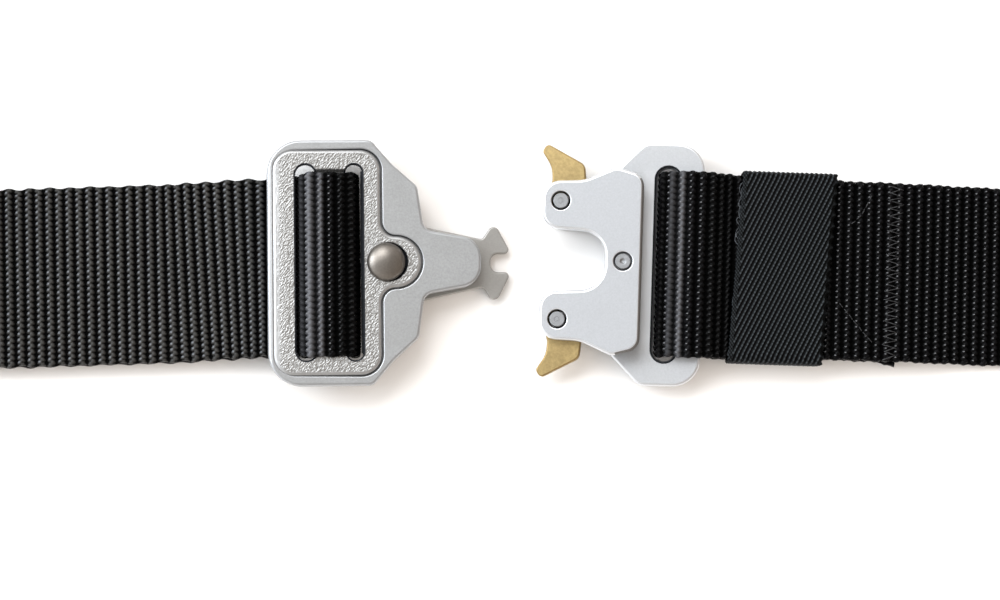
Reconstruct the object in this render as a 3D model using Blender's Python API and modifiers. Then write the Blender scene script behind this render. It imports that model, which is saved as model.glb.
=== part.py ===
"""Tactical belt: a 38 mm webbing strap in one whole loop, closed at the front by
a two-part quick-release buckle that is shown open, both halves face up.

Frame: metres in the file, millimetres in the tables below.  +X runs along the
front stretch from the tongue half to the latch half, +Y goes to the back of the
loop, +Z is up and z = 0 is the surface that the belt lies on.  The origin is
the middle of the belt's box, at its foot.

The front stretch lies flat.  Past it the strap turns onto its edge on each
side and goes round the back standing up, the plain way round.
"""
import math

import bmesh
import bpy
from mathutils import Matrix, Vector

MM = 0.001

# ---------------------------------------------------------------- main sizes
WEB_W = 38.0            # webbing width
WEB_T = 2.4             # webbing thickness
GAP = 0.3               # play between pieces that touch
TAIL_END_X = -109.0     # end of the tail under the left stretch
RETURN_END_X = 83.8     # end of the sewn return under the right stretch
EXIT_X = dict(left=-124.0, right=112.0)   # the flat front stretch ends here
TWIST_LEN = 128.0       # length over which the strap turns onto its edge
STEP = 8.0              # longest run between two sections of the front stretch

# the middle of the whole belt's box, measured from the buckle's front line
BOX_MIDDLE = dict(x=0.0, y=87.4)

# the two halves of the buckle: place of their own zero, lean and turn
HALVES = {
    #          x       y      z     lean  turn   (mm, mm, mm, deg, deg)
    "male":   (-23.73, -0.40, 2.00,  4.3,  0.8),
    "female": (25.78, -0.32, 1.85, -5.9, -1.95),
}

# heights in the tongue half, from the underside of the anchor plate
ANCHOR_TOP = 1.8
MALE_PLATE = (2.1, 6.4)          # underside and top of the base plate
POCKET_FLOOR = 5.0               # floor of the recess for the insert frame
INSERT = (5.3, 6.75)             # underside and top of the insert frame
BAR = (3.4, 5.6)                 # underside and top of the strap's bar
DOME_TOP = 8.9

# heights in the latch half, from the underside of its base plate
FEMALE_PLATE = (0.0, 2.4)
LEVER = (2.7, 4.9)
COVER = (5.2, 7.6)

# rivets of the latch half: x, y, head radius, hole radius
RIVET_R = 1.6
HOLE_R = 2.0
ARM_RIVET = (-12.75, 12.45)
MID_RIVET = (0.64, 0.0)
MID_SHOULDER_R = 2.6

# strap slots as x0, x1, half length; the ends are full rounds
SLOTS = {
    "male_left":  (-19.4, -15.2, 20.5),
    "male_right": (-8.9, -5.4, 20.5),
    "female":     (6.85, 12.05, 20.6),
}

# ------------------------------------------- outlines, upper half (y > 0)
# Each row is a corner: x, y, radius of its rounding.  The lower half mirrors.
MALE_OUTLINE = [
    # x      y     radius
    (19.35,  4.65, 4.5),    # nose of the tongue
    (7.45,   6.75, 2.4),    # root of the tongue
    (6.15,  15.90, 2.2),    # shoulder
    (0.90,  20.60, 9.0),
    (-3.50, 25.75, 1.9),    # end of the slanted edge
    (-25.35, 25.75, 7.2),   # outer corner
]
INSERT_OUTLINE = [
    (6.75,   5.40, 5.35),   # lobe round the dome
    (-1.60,  5.50, 3.5),
    (-1.60, 23.65, 4.4),
    (-24.30, 23.65, 4.4),
]
ANCHOR_OUTLINE = [
    (21.70,  1.95, 1.6),    # notch for the middle rivet
    (26.10,  1.95, 0.9),    # tip of the lobe
    (22.50,  8.90, 1.25),   # back of the lobe
    (20.00,  5.05, 0.9),    # neck
    (2.50,   8.90, 4.0),
    (-4.60,  8.90, 3.0),
]
COVER_OUTLINE = [
    (4.50,  18.20, 3.0),
    (-1.30, 19.80, 2.6),
    (-8.00, 16.90, 8.0),
    (-16.60, 16.65, 3.9),   # end of the arm
    (-16.60, 6.70, 3.7),
    (-3.15,  6.00, 5.2),    # throat
]
FEMALE_OUTLINE = [
    (17.15, 25.60, 6.0),
    (4.30,  25.60, 3.2),
    (-2.00, 19.20, 2.0),
    (-8.20, 16.40, 8.0),
    (-16.20, 16.25, 3.7),
    (-16.20, 7.10, 3.4),
    (-2.75,  6.40, 5.4),
]
# the latch lever, measured from its rivet, the upper one
LEVER_OUTLINE = [
    (-2.15,  4.60, 2.0),
    (-2.35,  7.40, 5.0),
    (-4.45, 10.60, 0.9),    # tip of the thumb tab
    (-3.45, 12.35, 1.0),
    (4.65,   7.95, 1.9),    # slanted edge that is pressed
    (5.25,   0.90, 3.0),
    (9.75,  -3.90, 1.0),    # hook behind the anchor's lobe
    (9.35,  -6.80, 0.6),
    (7.55,  -6.50, 0.6),
    (3.20,  -4.00, 3.0),
    (-2.70, -3.60, 2.8),
    (-2.90,  2.00, 2.6),
]
LEVER_SWING = 12.0

# keeper: elastic band round both layers of the right stretch
KEEPER = dict(x=59.3, length=19.9, wall=1.0, skew=0.057)
LIFT = KEEPER["wall"] + GAP       # the strap lies this much higher inside it

# --------------------------------------------------------- route of the strap
# plan of the standing loop, right half: x, y (from the front line), heading
# in degrees, and the handles of the smooth curve before and after the point
LOOP = [
    # x     y    heading  before  after
    (226.0, 88.0,  90.0,   46.0,  66.0),
    (0.0,  200.0, 180.0,  112.0, 112.0),
]
EXIT_HANDLE = 90.0


# ------------------------------------------------------------------ helpers
def rounded(corners, step=16.0):
    """Closed outline through a table of corners, each rounded by its radius."""
    out = []
    n = len(corners)
    for i in range(n):
        p = Vector(corners[i][:2])
        a = Vector(corners[i - 1][:2]) - p
        b = Vector(corners[(i + 1) % n][:2]) - p
        r = corners[i][2]
        out += fillet(p, a, b, r, step)
    return out


def fillet(p, a, b, r, step):
    """Arc of radius r between the two sides a and b of the corner p."""
    la, lb = a.length, b.length
    a, b = a / la, b / lb
    cosine = max(-1.0, min(1.0, a.dot(b)))
    inner = math.acos(cosine)
    turn = math.pi - inner
    if r <= 0.0 or turn < math.radians(0.5):
        return [p.copy()]
    back = r / math.tan(inner / 2)
    back = min(back, 0.49 * la, 0.49 * lb)
    r = back * math.tan(inner / 2)
    centre = p + (a + b).normalized() * (r / math.sin(inner / 2))
    first = p + a * back - centre
    sign = 1.0 if a.cross(b) < 0 else -1.0
    count = max(1, math.ceil(math.degrees(turn) / step))
    pts = []
    for k in range(count + 1):
        t = sign * turn * k / count
        c, s = math.cos(t), math.sin(t)
        pts.append(centre + Vector((first.x * c - first.y * s,
                                    first.x * s + first.y * c)))
    return pts


def mirrored(half):
    """Corner table of a whole outline from its upper half."""
    return list(half) + [(x, -y, r) for x, y, r in reversed(half)]


def stadium(slot, grow=0.0, sides=10):
    """Slot with full-round ends, long in Y."""
    x0, x1, half = slot
    x0, x1, half = x0 - grow, x1 + grow, half + grow
    r = (x1 - x0) / 2
    cx = (x0 + x1) / 2
    pts = []
    for end in (1, -1):
        for k in range(sides + 1):
            a = math.pi * k / sides
            pts.append(Vector((cx + end * r * math.cos(a),
                               end * (half - r + r * math.sin(a)))))
    return pts


def circle(x, y, r, sides=24):
    return [Vector((x + r * math.cos(2 * math.pi * k / sides),
                    y + r * math.sin(2 * math.pi * k / sides)))
            for k in range(sides)]


def material(name, color, rough, metal):
    mat = bpy.data.materials.new(name)
    mat.use_nodes = True
    bsdf = mat.node_tree.nodes["Principled BSDF"]
    bsdf.inputs["Base Color"].default_value = (*color, 1.0)
    bsdf.inputs["Roughness"].default_value = rough
    bsdf.inputs["Metallic"].default_value = metal
    mat.diffuse_color = (*color, 1.0)
    return mat


def slab(name, loops, z0, z1, collection):
    """Flat plate: the first loop is its outline, the others are holes."""
    curve = bpy.data.curves.new(name + "_outline", "CURVE")
    curve.dimensions = "2D"
    curve.fill_mode = "BOTH"
    curve.extrude = (z1 - z0) / 2 * MM
    for loop in loops:
        spline = curve.splines.new("POLY")
        spline.points.add(len(loop) - 1)
        for point, p in zip(spline.points, loop):
            point.co = (p.x * MM, p.y * MM, 0.0, 1.0)
        spline.use_cyclic_u = True
    guide = bpy.data.objects.new(name + "_outline", curve)
    collection.objects.link(guide)
    bpy.context.view_layer.update()
    graph = bpy.context.evaluated_depsgraph_get()
    mesh = bpy.data.meshes.new_from_object(guide.evaluated_get(graph))
    bpy.data.objects.remove(guide)
    mesh.transform(Matrix.Translation((0, 0, (z0 + z1) / 2 * MM)))
    bm = bmesh.new()
    bm.from_mesh(mesh)
    bmesh.ops.remove_doubles(bm, verts=bm.verts, dist=2e-6)
    bmesh.ops.recalc_face_normals(bm, faces=bm.faces)
    bm.to_mesh(mesh)
    bm.free()
    mesh.name = name
    obj = bpy.data.objects.new(name, mesh)
    collection.objects.link(obj)
    return obj


def round_edges(obj, width, segments=1):
    mod = obj.modifiers.new("rounded_edges", "BEVEL")
    mod.width = width * MM
    mod.segments = segments
    mod.limit_method = "ANGLE"
    mod.angle_limit = math.radians(50)
    mod.harden_normals = False
    return mod


def cut(obj, cutter, operation="DIFFERENCE"):
    mod = obj.modifiers.new(cutter.name, "BOOLEAN")
    mod.object = cutter
    mod.operation = operation
    mod.solver = "EXACT"
    return mod


def as_cutter(obj):
    obj.hide_render = True
    obj.display_type = "WIRE"
    return obj


def put(obj, mat, parent=None):
    obj.data.materials.clear()
    obj.data.materials.append(mat)
    if parent is not None:
        obj.parent = parent
    return obj


def turned(name, profile, sides, collection):
    """Turned solid: profile rows are radius, height, from the top down."""
    mesh = bpy.data.meshes.new(name)
    mesh.from_pydata([(r * MM, 0.0, z * MM) for r, z in profile],
                     [(i, i + 1) for i in range(len(profile) - 1)], [])
    obj = bpy.data.objects.new(name, mesh)
    collection.objects.link(obj)
    mod = obj.modifiers.new("turned", "SCREW")
    mod.steps = sides
    mod.render_steps = sides
    mod.use_merge_vertices = True
    mod.merge_threshold = 0.00001
    mod.use_smooth_shade = True
    return obj


def half_frame(name, collection):
    x, y, z, lean, turn = HALVES[name]
    empty = bpy.data.objects.new(name + "_half", None)
    empty.empty_display_size = 0.01
    empty.location = ((x - BOX_MIDDLE["x"]) * MM, (y - BOX_MIDDLE["y"]) * MM,
                      z * MM)
    empty.rotation_euler = (0.0, math.radians(lean), math.radians(turn))
    collection.objects.link(empty)
    return empty


def from_half(name, x, z):
    """Side view of a half: its own x, z to the belt's x, z."""
    hx, _, hz, lean, _ = HALVES[name]
    a = math.radians(lean)
    return (hx + x * math.cos(a) + z * math.sin(a),
            hz - x * math.sin(a) + z * math.cos(a))


# -------------------------------------------------------- route of the strap
def front_line(x):
    """Middle line of the flat stretches in plan: y and turn at x."""
    mx, my, _, _, mturn = HALVES["male"]
    fx, fy, _, _, fturn = HALVES["female"]
    if x > 0:
        k = math.tan(math.radians(fturn))
        return fy + (x - fx) * k, k
    under, clear, far = -49.0, -72.0, -105.0      # x of plate edge, blend end
    slope_in = math.tan(math.radians(mturn))
    slope_out = 0.0305
    y_in = my - 0.6 + (under - mx) * slope_in
    y_far = -3.55
    y_out = y_far + (clear - far) * slope_out
    if x > under:
        return y_in + (x - under) * slope_in, slope_in
    if x < clear:
        return y_out + (x - clear) * slope_out, slope_out
    t = (x - clear) / (under - clear)
    span = under - clear
    h00, h10 = 2 * t**3 - 3 * t**2 + 1, t**3 - 2 * t**2 + t
    h01, h11 = -2 * t**3 + 3 * t**2, t**3 - t**2
    y = h00 * y_out + h10 * span * slope_out + h01 * y_in + h11 * span * slope_in
    d = ((6 * t**2 - 6 * t) * (y_out - y_in) / span
         + (3 * t**2 - 4 * t + 1) * slope_out + (3 * t**2 - 2 * t) * slope_in)
    return y, d


def side_routes():
    """Side view of both flat stretches, rows x, z, bend radius."""
    low = WEB_T / 2                       # layer on the surface
    high = low + WEB_T + GAP              # layer on top of it
    over = BAR[1] + GAP + WEB_T / 2       # over the bar
    under = MALE_PLATE[0] - GAP - WEB_T / 2
    left_x, right_x = -17.6, -7.15        # middles of the two passes
    down = from_half("male", right_x, 0.0)
    lean = math.radians(HALVES["male"][3])
    turn_x = down[0] + (low - down[1]) * math.tan(lean)
    male = [
        (TAIL_END_X, low, 0),
        (turn_x, low, 2.3),
        (*from_half("male", right_x, over), 2.3),
        (*from_half("male", left_x, over), 2.3),
        (*from_half("male", left_x, under), 2.3),
        (*from_half("male", -27.5, under), 40),
        (-68.0, high, 90),
        (-108.0, high, 50),
        (-121.0, low, 50),
        (EXIT_X["left"], low, 0),
    ]
    pass_x, top, foot = 8.4, 4.2, -1.8
    female = [
        (RETURN_END_X, low + 0.35, 0),
        (80.0, low + 0.35, 20),
        (70.6, low + LIFT, 20),
        (47.5, low + LIFT, 40),
        (*from_half("female", 19.0, foot), 12),
        (*from_half("female", pass_x, foot), 3.0),
        (*from_half("female", pass_x, top), 3.0),
        (*from_half("female", 18.2, top), 9),
        (47.0, high + LIFT, 30),
        (71.0, high + LIFT, 30),
        (87.0, high + 0.1, 30),
        (101.0, low, 50),
        (EXIT_X["right"], low, 0),
    ]
    return male, female


def walk(route):
    """Stations of a side route, with no run longer than STEP."""
    pts = []
    for i, (x, z, r) in enumerate(route):
        p = Vector((x, z))
        if 0 < i < len(route) - 1 and r > 0:
            a = Vector(route[i - 1][:2]) - p
            b = Vector(route[i + 1][:2]) - p
            pts += fillet(p, a, b, r, 17.0)
        else:
            pts.append(p)
    out = [pts[0]]
    for p in pts[1:]:
        q = out[-1]
        n = max(1, math.ceil((p - q).length / STEP))
        for k in range(1, n + 1):
            out.append(q + (p - q) * (k / n))
    return out


def bezier(p0, h0, len0, p1, h1, len1, n):
    a, b = math.radians(h0), math.radians(h1)
    c0 = (p0[0] + len0 * math.cos(a), p0[1] + len0 * math.sin(a))
    c1 = (p1[0] - len1 * math.cos(b), p1[1] - len1 * math.sin(b))
    out = []
    for k in range(n + 1):
        t = k / n
        u = 1 - t
        w = (u**3, 3 * u * u * t, 3 * u * t * t, t**3)
        out.append(Vector((w[0] * p0[0] + w[1] * c0[0] + w[2] * c1[0] + w[3] * p1[0],
                           w[0] * p0[1] + w[1] * c0[1] + w[2] * c1[1] + w[3] * p1[1])))
    return out


def loop_plan():
    """Plan of the standing loop, from the right exit round to the left one."""
    y_r, k_r = front_line(EXIT_X["right"])
    y_l, k_l = front_line(EXIT_X["left"])
    side, back = LOOP
    rows = [
        (EXIT_X["right"], y_r, math.degrees(math.atan(k_r)), 0.0, EXIT_HANDLE),
        (*side, ),
        (*back, ),
        (-side[0], side[1], 360 - side[2], side[4], side[3]),
        (EXIT_X["left"], y_l, 360 + math.degrees(math.atan(k_l)), EXIT_HANDLE, 0.0),
    ]
    pts = [Vector(rows[0][:2])]
    for a, b in zip(rows[:-1], rows[1:]):
        span = math.hypot(b[0] - a[0], b[1] - a[1])
        pts += bezier(a[:2], a[2], a[4], b[:2], b[2], b[3], round(span / 9.5))[1:]
    return pts


def sections():
    """Every cross-section of the strap: middle point and width direction."""
    rows = []

    def flat(p):
        y, k = front_line(p.x)
        n = math.hypot(1.0, k)
        rows.append((Vector((p.x, y, p.y)), Vector((-k / n, 1.0 / n, 0.0))))

    male, female = side_routes()
    for p in walk(female):
        flat(p)
    plan = loop_plan()
    run = [0.0]
    for a, b in zip(plan[:-1], plan[1:]):
        run.append(run[-1] + (b - a).length)
    total = run[-1]
    for i in range(1, len(plan) - 1):
        p = plan[i]
        d = (plan[i + 1] - plan[i - 1]).normalized()
        s = min(1.0, min(run[i], total - run[i]) / TWIST_LEN)
        phi = math.pi / 2 * (3 * s * s - 2 * s**3)
        inward = Vector((-d.y, d.x, 0.0))
        width = inward * math.cos(phi) + Vector((0, 0, 1)) * math.sin(phi)
        z = WEB_W / 2 * math.sin(phi) + WEB_T / 2 * math.cos(phi)
        rows.append((Vector((p.x, p.y, z)), width))
    for p in reversed(walk(male)):
        flat(p)
    return rows


def build_strap(collection, mat):
    rows = sections()
    across = (-0.5, -0.25, 0.0, 0.25, 0.5)
    shift = Vector((BOX_MIDDLE["x"], BOX_MIDDLE["y"], 0.0))
    bm = bmesh.new()
    grid = []
    for centre, width in rows:
        grid.append([bm.verts.new((centre - shift + width * (WEB_W * u)) * MM)
                     for u in across])
    for a, b in zip(grid[:-1], grid[1:]):
        for j in range(len(across) - 1):
            bm.faces.new((a[j], b[j], b[j + 1], a[j + 1]))
    mesh = bpy.data.meshes.new("webbing_strap")
    bm.to_mesh(mesh)
    bm.free()
    obj = bpy.data.objects.new("webbing_strap", mesh)
    collection.objects.link(obj)
    mod = obj.modifiers.new("thickness", "SOLIDIFY")
    mod.thickness = WEB_T * MM
    mod.offset = 0.0
    mod.use_even_offset = True
    mod.use_rim = True
    put(obj, mat)
    return obj


def build_keeper(collection, mat):
    x = KEEPER["x"]
    y, k = front_line(x)
    inside = (WEB_W + 2 * GAP, 2 * WEB_T + GAP + 2 * GAP)
    wall = KEEPER["wall"]

    def band(w, h, r):
        box = [(w / 2, h / 2, r), (-w / 2, h / 2, r),
               (-w / 2, -h / 2, r), (w / 2, -h / 2, r)]
        return rounded(box, 22.0)

    obj = slab("elastic_keeper",
               [band(inside[0] + 2 * wall, inside[1] + 2 * wall, 1.9),
                band(inside[0], inside[1], 0.9)],
               -KEEPER["length"] / 2, KEEPER["length"] / 2, collection)
    # the band's section stands in YZ and leans a little along the strap
    turn = math.atan(k)
    skew = Matrix(((1, KEEPER["skew"], 0, 0), (0, 1, 0, 0),
                   (0, 0, 1, 0), (0, 0, 0, 1)))
    stand = Matrix(((0, 0, 1, 0), (1, 0, 0, 0), (0, 1, 0, 0), (0, 0, 0, 1)))
    obj.data.transform(skew @ stand)
    obj.location = ((x - BOX_MIDDLE["x"]) * MM, (y - BOX_MIDDLE["y"]) * MM,
                    (inside[1] / 2 + wall) * MM)
    obj.rotation_euler = (0, 0, turn)
    put(obj, mat)
    return obj


def build_male(collection, cutters, mats):
    half = half_frame("male", collection)
    # base plate with the recess for the insert frame and a window below it
    window = [(-4.6, 21.0, 2.2), (-20.2, 21.0, 2.2)]
    plate = slab("male_base_plate",
                 [rounded(mirrored(MALE_OUTLINE)), rounded(mirrored(window)),
                  circle(0, 0, 1.9)], *MALE_PLATE, collection)
    round_edges(plate, 0.5)
    pocket = slab("recess_cut", [offset(rounded(mirrored(INSERT_OUTLINE)), 0.4)],
                  POCKET_FLOOR, MALE_PLATE[1] + 2, cutters)
    as_cutter(pocket).parent = half
    cut(plate, pocket)
    put(plate, mats["alloy_grey"], half)

    # insert frame: ring with two slots, and the lowered bar between them
    frame = slab("male_insert_frame", [rounded(mirrored(INSERT_OUTLINE)),
                                       circle(0.35, 0, 4.5, 32)], *INSERT, collection)
    round_edges(frame, 0.4)
    bar_x = (SLOTS["male_left"][1], SLOTS["male_right"][0])
    bar = slab("bar_join", [rounded([(bar_x[1] + 0.6, 20.6, 0), (bar_x[0] - 0.6, 20.6, 0),
                                     (bar_x[0] - 0.6, -20.6, 0), (bar_x[1] + 0.6, -20.6, 0)])],
               BAR[0], BAR[1] + 0.1, cutters)
    relief = slab("bar_relief_cut",
                  [rounded([(bar_x[1] + 0.3, 19.9, 0), (bar_x[0] - 0.3, 19.9, 0),
                            (bar_x[0] - 0.3, -19.9, 0), (bar_x[1] + 0.3, -19.9, 0)])],
                  BAR[1], INSERT[1] + 2, cutters)
    left = slab("left_slot_cut", [stadium(SLOTS["male_left"])], 0, INSERT[1] + 2, cutters)
    right = slab("right_slot_cut", [stadium(SLOTS["male_right"])], 0, INSERT[1] + 2, cutters)
    for cutter in (bar, relief, left, right):
        as_cutter(cutter).parent = half
    cut(frame, bar, "UNION")
    for cutter in (left, right, relief):
        cut(frame, cutter)
    put(frame, mats["alloy_insert"], half)

    # dome rivet: head in the insert's hole, shank down through both plates
    dome_r, seat = 3.9, POCKET_FLOOR + GAP
    rise = DOME_TOP - seat - 0.9
    profile = [(0.0, DOME_TOP)]
    for k in range(1, 8):
        a = math.pi / 2 * k / 7
        profile.append((dome_r * math.sin(a), seat + 0.9 + rise * math.cos(a)))
    profile += [(dome_r, seat), (1.5, seat), (1.5, 0.15), (0.0, 0.15)]
    dome = turned("male_dome_rivet", profile, 28, collection)
    put(dome, mats["rivet_steel"], half)

    anchor = slab("male_anchor_plate", [rounded(mirrored(ANCHOR_OUTLINE)),
                                        circle(0, 0, 1.9)], 0.0, ANCHOR_TOP, collection)
    round_edges(anchor, 0.35)
    put(anchor, mats["anchor_steel"], half)
    return half


def offset(points, d):
    """Outline moved out by d along its own normals (points run round once)."""
    n = len(points)
    area = sum(points[i - 1].cross(points[i]) for i in range(n))
    side = 1.0 if area > 0 else -1.0
    out = []
    for i in range(n):
        a = (points[i] - points[i - 1]).normalized()
        b = (points[(i + 1) % n] - points[i]).normalized()
        t = (a + b).normalized()
        k = max(0.5, math.sqrt(max(0.0, (1 + a.dot(b)) / 2)))
        out.append(points[i] + Vector((t.y, -t.x)) * (side * d / k))
    return out


def build_female(collection, cutters, mats):
    half = half_frame("female", collection)
    ax, ay = ARM_RIVET
    holes = [circle(ax, ay, HOLE_R), circle(ax, -ay, HOLE_R), circle(*MID_RIVET, HOLE_R)]
    plate = slab("female_base_plate",
                 [rounded(mirrored(FEMALE_OUTLINE)), stadium(SLOTS["female"])] + holes,
                 *FEMALE_PLATE, collection)
    round_edges(plate, 0.35)
    put(plate, mats["alloy_silver"], half)
    cover = slab("female_cover_plate", [rounded(mirrored(COVER_OUTLINE))] + holes,
                 *COVER, collection)
    round_edges(cover, 0.35)
    put(cover, mats["alloy_silver"], half)

    plain = [(0.0, COVER[1] - 0.1), (RIVET_R - 0.25, COVER[1] - 0.1),
             (RIVET_R, COVER[1] - 0.35), (RIVET_R, 0.15), (0.0, 0.15)]
    middle = [plain[0], plain[1], plain[2], (RIVET_R, LEVER[1]),
              (MID_SHOULDER_R, LEVER[1]), (MID_SHOULDER_R, LEVER[0]),
              (RIVET_R, LEVER[0]), (RIVET_R, 0.15), (0.0, 0.15)]
    for name, profile, place in (("rivet_upper", plain, (ax, ay)),
                                 ("rivet_lower", plain, (ax, -ay)),
                                 ("rivet_middle", middle, MID_RIVET)):
        rivet = turned(name, profile, 24, collection)
        rivet.location = (place[0] * MM, place[1] * MM, 0.0)
        put(rivet, mats["rivet_grey"], half)

    # the two latch levers, each turning on the rivet of its arm
    for name, sign in (("lever_upper", 1), ("lever_lower", -1)):
        pivot = bpy.data.objects.new(name + "_axis", None)
        pivot.empty_display_size = 0.005
        pivot.location = (ax * MM, sign * ay * MM, 0.0)
        pivot.parent = half
        collection.objects.link(pivot)
        table = [(x, sign * y, r) for x, y, r in LEVER_OUTLINE]
        lever = slab(name, [rounded(table), circle(0, 0, RIVET_R + 0.35)], *LEVER, collection)
        round_edges(lever, 0.25)
        put(lever, mats["lever_brass"], pivot)
    return half


def main():
    for obj in list(bpy.data.objects):
        bpy.data.objects.remove(obj, do_unlink=True)
    scene = bpy.context.scene
    parts = bpy.data.collections.new("tactical_belt")
    cutters = bpy.data.collections.new("tactical_belt_cutters")
    scene.collection.children.link(parts)
    scene.collection.children.link(cutters)
    mats = {
        "webbing": material("black_webbing", (0.012, 0.012, 0.014), 0.75, 0.0),
        "elastic": material("slate_elastic", (0.024, 0.029, 0.032), 0.85, 0.0),
        "alloy_grey": material("anodised_alloy", (0.52, 0.53, 0.55), 0.45, 1.0),
        "alloy_insert": material("pebbled_alloy", (0.66, 0.65, 0.63), 0.42, 1.0),
        "alloy_silver": material("silver_alloy", (0.72, 0.74, 0.77), 0.42, 1.0),
        "anchor_steel": material("anchor_steel", (0.45, 0.43, 0.41), 0.40, 1.0),
        "rivet_steel": material("dome_steel", (0.42, 0.40, 0.38), 0.28, 1.0),
        "rivet_grey": material("rivet_grey", (0.40, 0.41, 0.43), 0.40, 1.0),
        "lever_brass": material("lever_brass", (0.55, 0.42, 0.18), 0.38, 1.0),
    }
    build_strap(parts, mats["webbing"])
    build_keeper(parts, mats["elastic"])
    build_male(parts, cutters, mats)
    build_female(parts, cutters, mats)


main()
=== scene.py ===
"""Looks of the tactical belt: webbing, keeper, buckle finish, stitching, light.

Everything is worked out in millimetres in the belt's own layout (y measured
from the buckle's front line), and shifted into the frame at the end.
"""
import math

import bmesh
import bpy
import numpy as np
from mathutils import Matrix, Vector, noise
from mathutils.geometry import delaunay_2d_cdt


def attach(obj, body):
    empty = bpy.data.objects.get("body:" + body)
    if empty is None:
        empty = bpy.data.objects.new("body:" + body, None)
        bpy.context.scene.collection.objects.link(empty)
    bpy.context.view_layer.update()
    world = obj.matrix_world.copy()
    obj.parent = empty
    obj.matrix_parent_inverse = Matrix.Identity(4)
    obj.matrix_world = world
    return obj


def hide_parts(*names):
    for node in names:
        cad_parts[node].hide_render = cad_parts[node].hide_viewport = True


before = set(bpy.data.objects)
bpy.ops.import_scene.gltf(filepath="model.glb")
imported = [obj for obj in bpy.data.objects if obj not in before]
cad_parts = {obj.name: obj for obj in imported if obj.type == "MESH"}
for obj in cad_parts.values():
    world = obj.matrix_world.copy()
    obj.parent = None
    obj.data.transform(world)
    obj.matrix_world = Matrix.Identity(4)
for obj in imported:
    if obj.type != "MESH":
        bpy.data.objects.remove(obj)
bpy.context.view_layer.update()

MM = 0.001
BOX_MIDDLE = np.array([0.0, 87.4, 0.0])      # belt's middle from the front line

# ------------------------------------------------------------ sizes (as built)
WEB_W, WEB_T, GAP = 38.0, 2.4, 0.3
TAIL_END_X, RETURN_END_X = -109.0, 83.8
EXIT_X = dict(left=-124.0, right=112.0)
TWIST_LEN = 128.0
HALVES = {
    #          x       y      z     lean  turn
    "male":   (-23.73, -0.40, 2.00,  4.3,  0.8),
    "female": (25.78, -0.32, 1.85, -5.9, -1.95),
}
ANCHOR_TOP = 1.8
MALE_PLATE = (2.1, 6.4)
POCKET_FLOOR = 5.0
INSERT = (5.3, 6.75)
BAR = (3.4, 5.6)
DOME_TOP = 8.9
FEMALE_PLATE = (0.0, 2.4)
LEVER = (2.7, 4.9)
COVER = (5.2, 7.6)
RIVET_R, HOLE_R = 1.6, 2.0
ARM_RIVET = (-12.75, 12.45)
MID_RIVET = (0.64, 0.0)
SLOTS = {
    "male_left":  (-19.4, -15.2, 20.5),
    "male_right": (-8.9, -5.4, 20.5),
    "female":     (6.85, 12.05, 20.6),
}
MALE_OUTLINE = [
    # x      y     radius
    (19.35,  4.65, 4.5), (7.45, 6.75, 2.4), (6.15, 15.90, 2.2),
    (0.90,  20.60, 9.0), (-3.50, 25.75, 1.9), (-25.35, 25.75, 7.2),
]
ANCHOR_OUTLINE = [
    (21.70, 1.95, 1.6), (26.10, 1.95, 0.9), (22.50, 8.90, 1.25),
    (20.00, 5.05, 0.9), (2.50, 8.90, 4.0), (-4.60, 8.90, 3.0),
]
COVER_OUTLINE = [
    (4.50, 18.20, 3.0), (-1.30, 19.80, 2.6), (-8.00, 16.90, 8.0),
    (-16.60, 16.65, 3.9), (-16.60, 6.70, 3.7), (-3.15, 6.00, 5.2),
]
FEMALE_OUTLINE = [
    (17.15, 25.60, 6.0), (4.30, 25.60, 3.2), (-2.00, 19.20, 2.0), (-8.20, 16.40, 8.0),
    (-16.20, 16.25, 3.7), (-16.20, 7.10, 3.4), (-2.75, 6.40, 5.4),
]
LEVER_OUTLINE = [
    (-2.15, 4.60, 2.0), (-2.35, 7.40, 5.0), (-4.45, 10.60, 0.9), (-3.45, 12.35, 1.0),
    (4.65, 7.95, 1.9), (5.25, 0.90, 3.0), (9.75, -3.90, 1.0), (9.35, -6.80, 0.6),
    (7.55, -6.50, 0.6), (3.20, -4.00, 3.0), (-2.70, -3.60, 2.8), (-2.90, 2.00, 2.6),
]
WINDOW = [(-4.6, 21.0, 2.2), (-20.2, 21.0, 2.2)]
KEEPER = dict(x=59.3, length=19.9, wall=1.0, skew=0.057)
LIFT = KEEPER["wall"] + GAP
LOOP = [
    # x     y    heading  before  after
    (226.0, 88.0,  90.0,   46.0,  66.0),
    (0.0,  200.0, 180.0,  112.0, 112.0),
]
EXIT_HANDLE = 90.0

# weave of the webbing
RIB = 2.12               # pitch of the ribs along the strap
KNOT = 1.22              # pitch of the knots along a rib
RELIEF = 0.85            # depth of the grooves between them

rng = np.random.default_rng(7)


# ================================================================= 2D outlines
def fillet(p, a, b, r, step):
    la, lb = a.length, b.length
    a, b = a / la, b / lb
    inner = math.acos(max(-1.0, min(1.0, a.dot(b))))
    turn = math.pi - inner
    if r <= 0.0 or turn < math.radians(0.5):
        return [p.copy()]
    back = min(r / math.tan(inner / 2), 0.49 * la, 0.49 * lb)
    r = back * math.tan(inner / 2)
    centre = p + (a + b).normalized() * (r / math.sin(inner / 2))
    first = p + a * back - centre
    sign = 1.0 if a.cross(b) < 0 else -1.0
    count = max(1, math.ceil(math.degrees(turn) / step))
    pts = []
    for k in range(count + 1):
        t = sign * turn * k / count
        c, s = math.cos(t), math.sin(t)
        pts.append(centre + Vector((first.x * c - first.y * s,
                                    first.x * s + first.y * c)))
    return pts


def rounded(corners, step=6.0):
    out = []
    n = len(corners)
    for i in range(n):
        p = Vector(corners[i][:2])
        out += fillet(p, Vector(corners[i - 1][:2]) - p,
                      Vector(corners[(i + 1) % n][:2]) - p, corners[i][2], step)
    return np.array([(q.x, q.y) for q in out])


def mirrored(half):
    return list(half) + [(x, -y, r) for x, y, r in reversed(half)]


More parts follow.
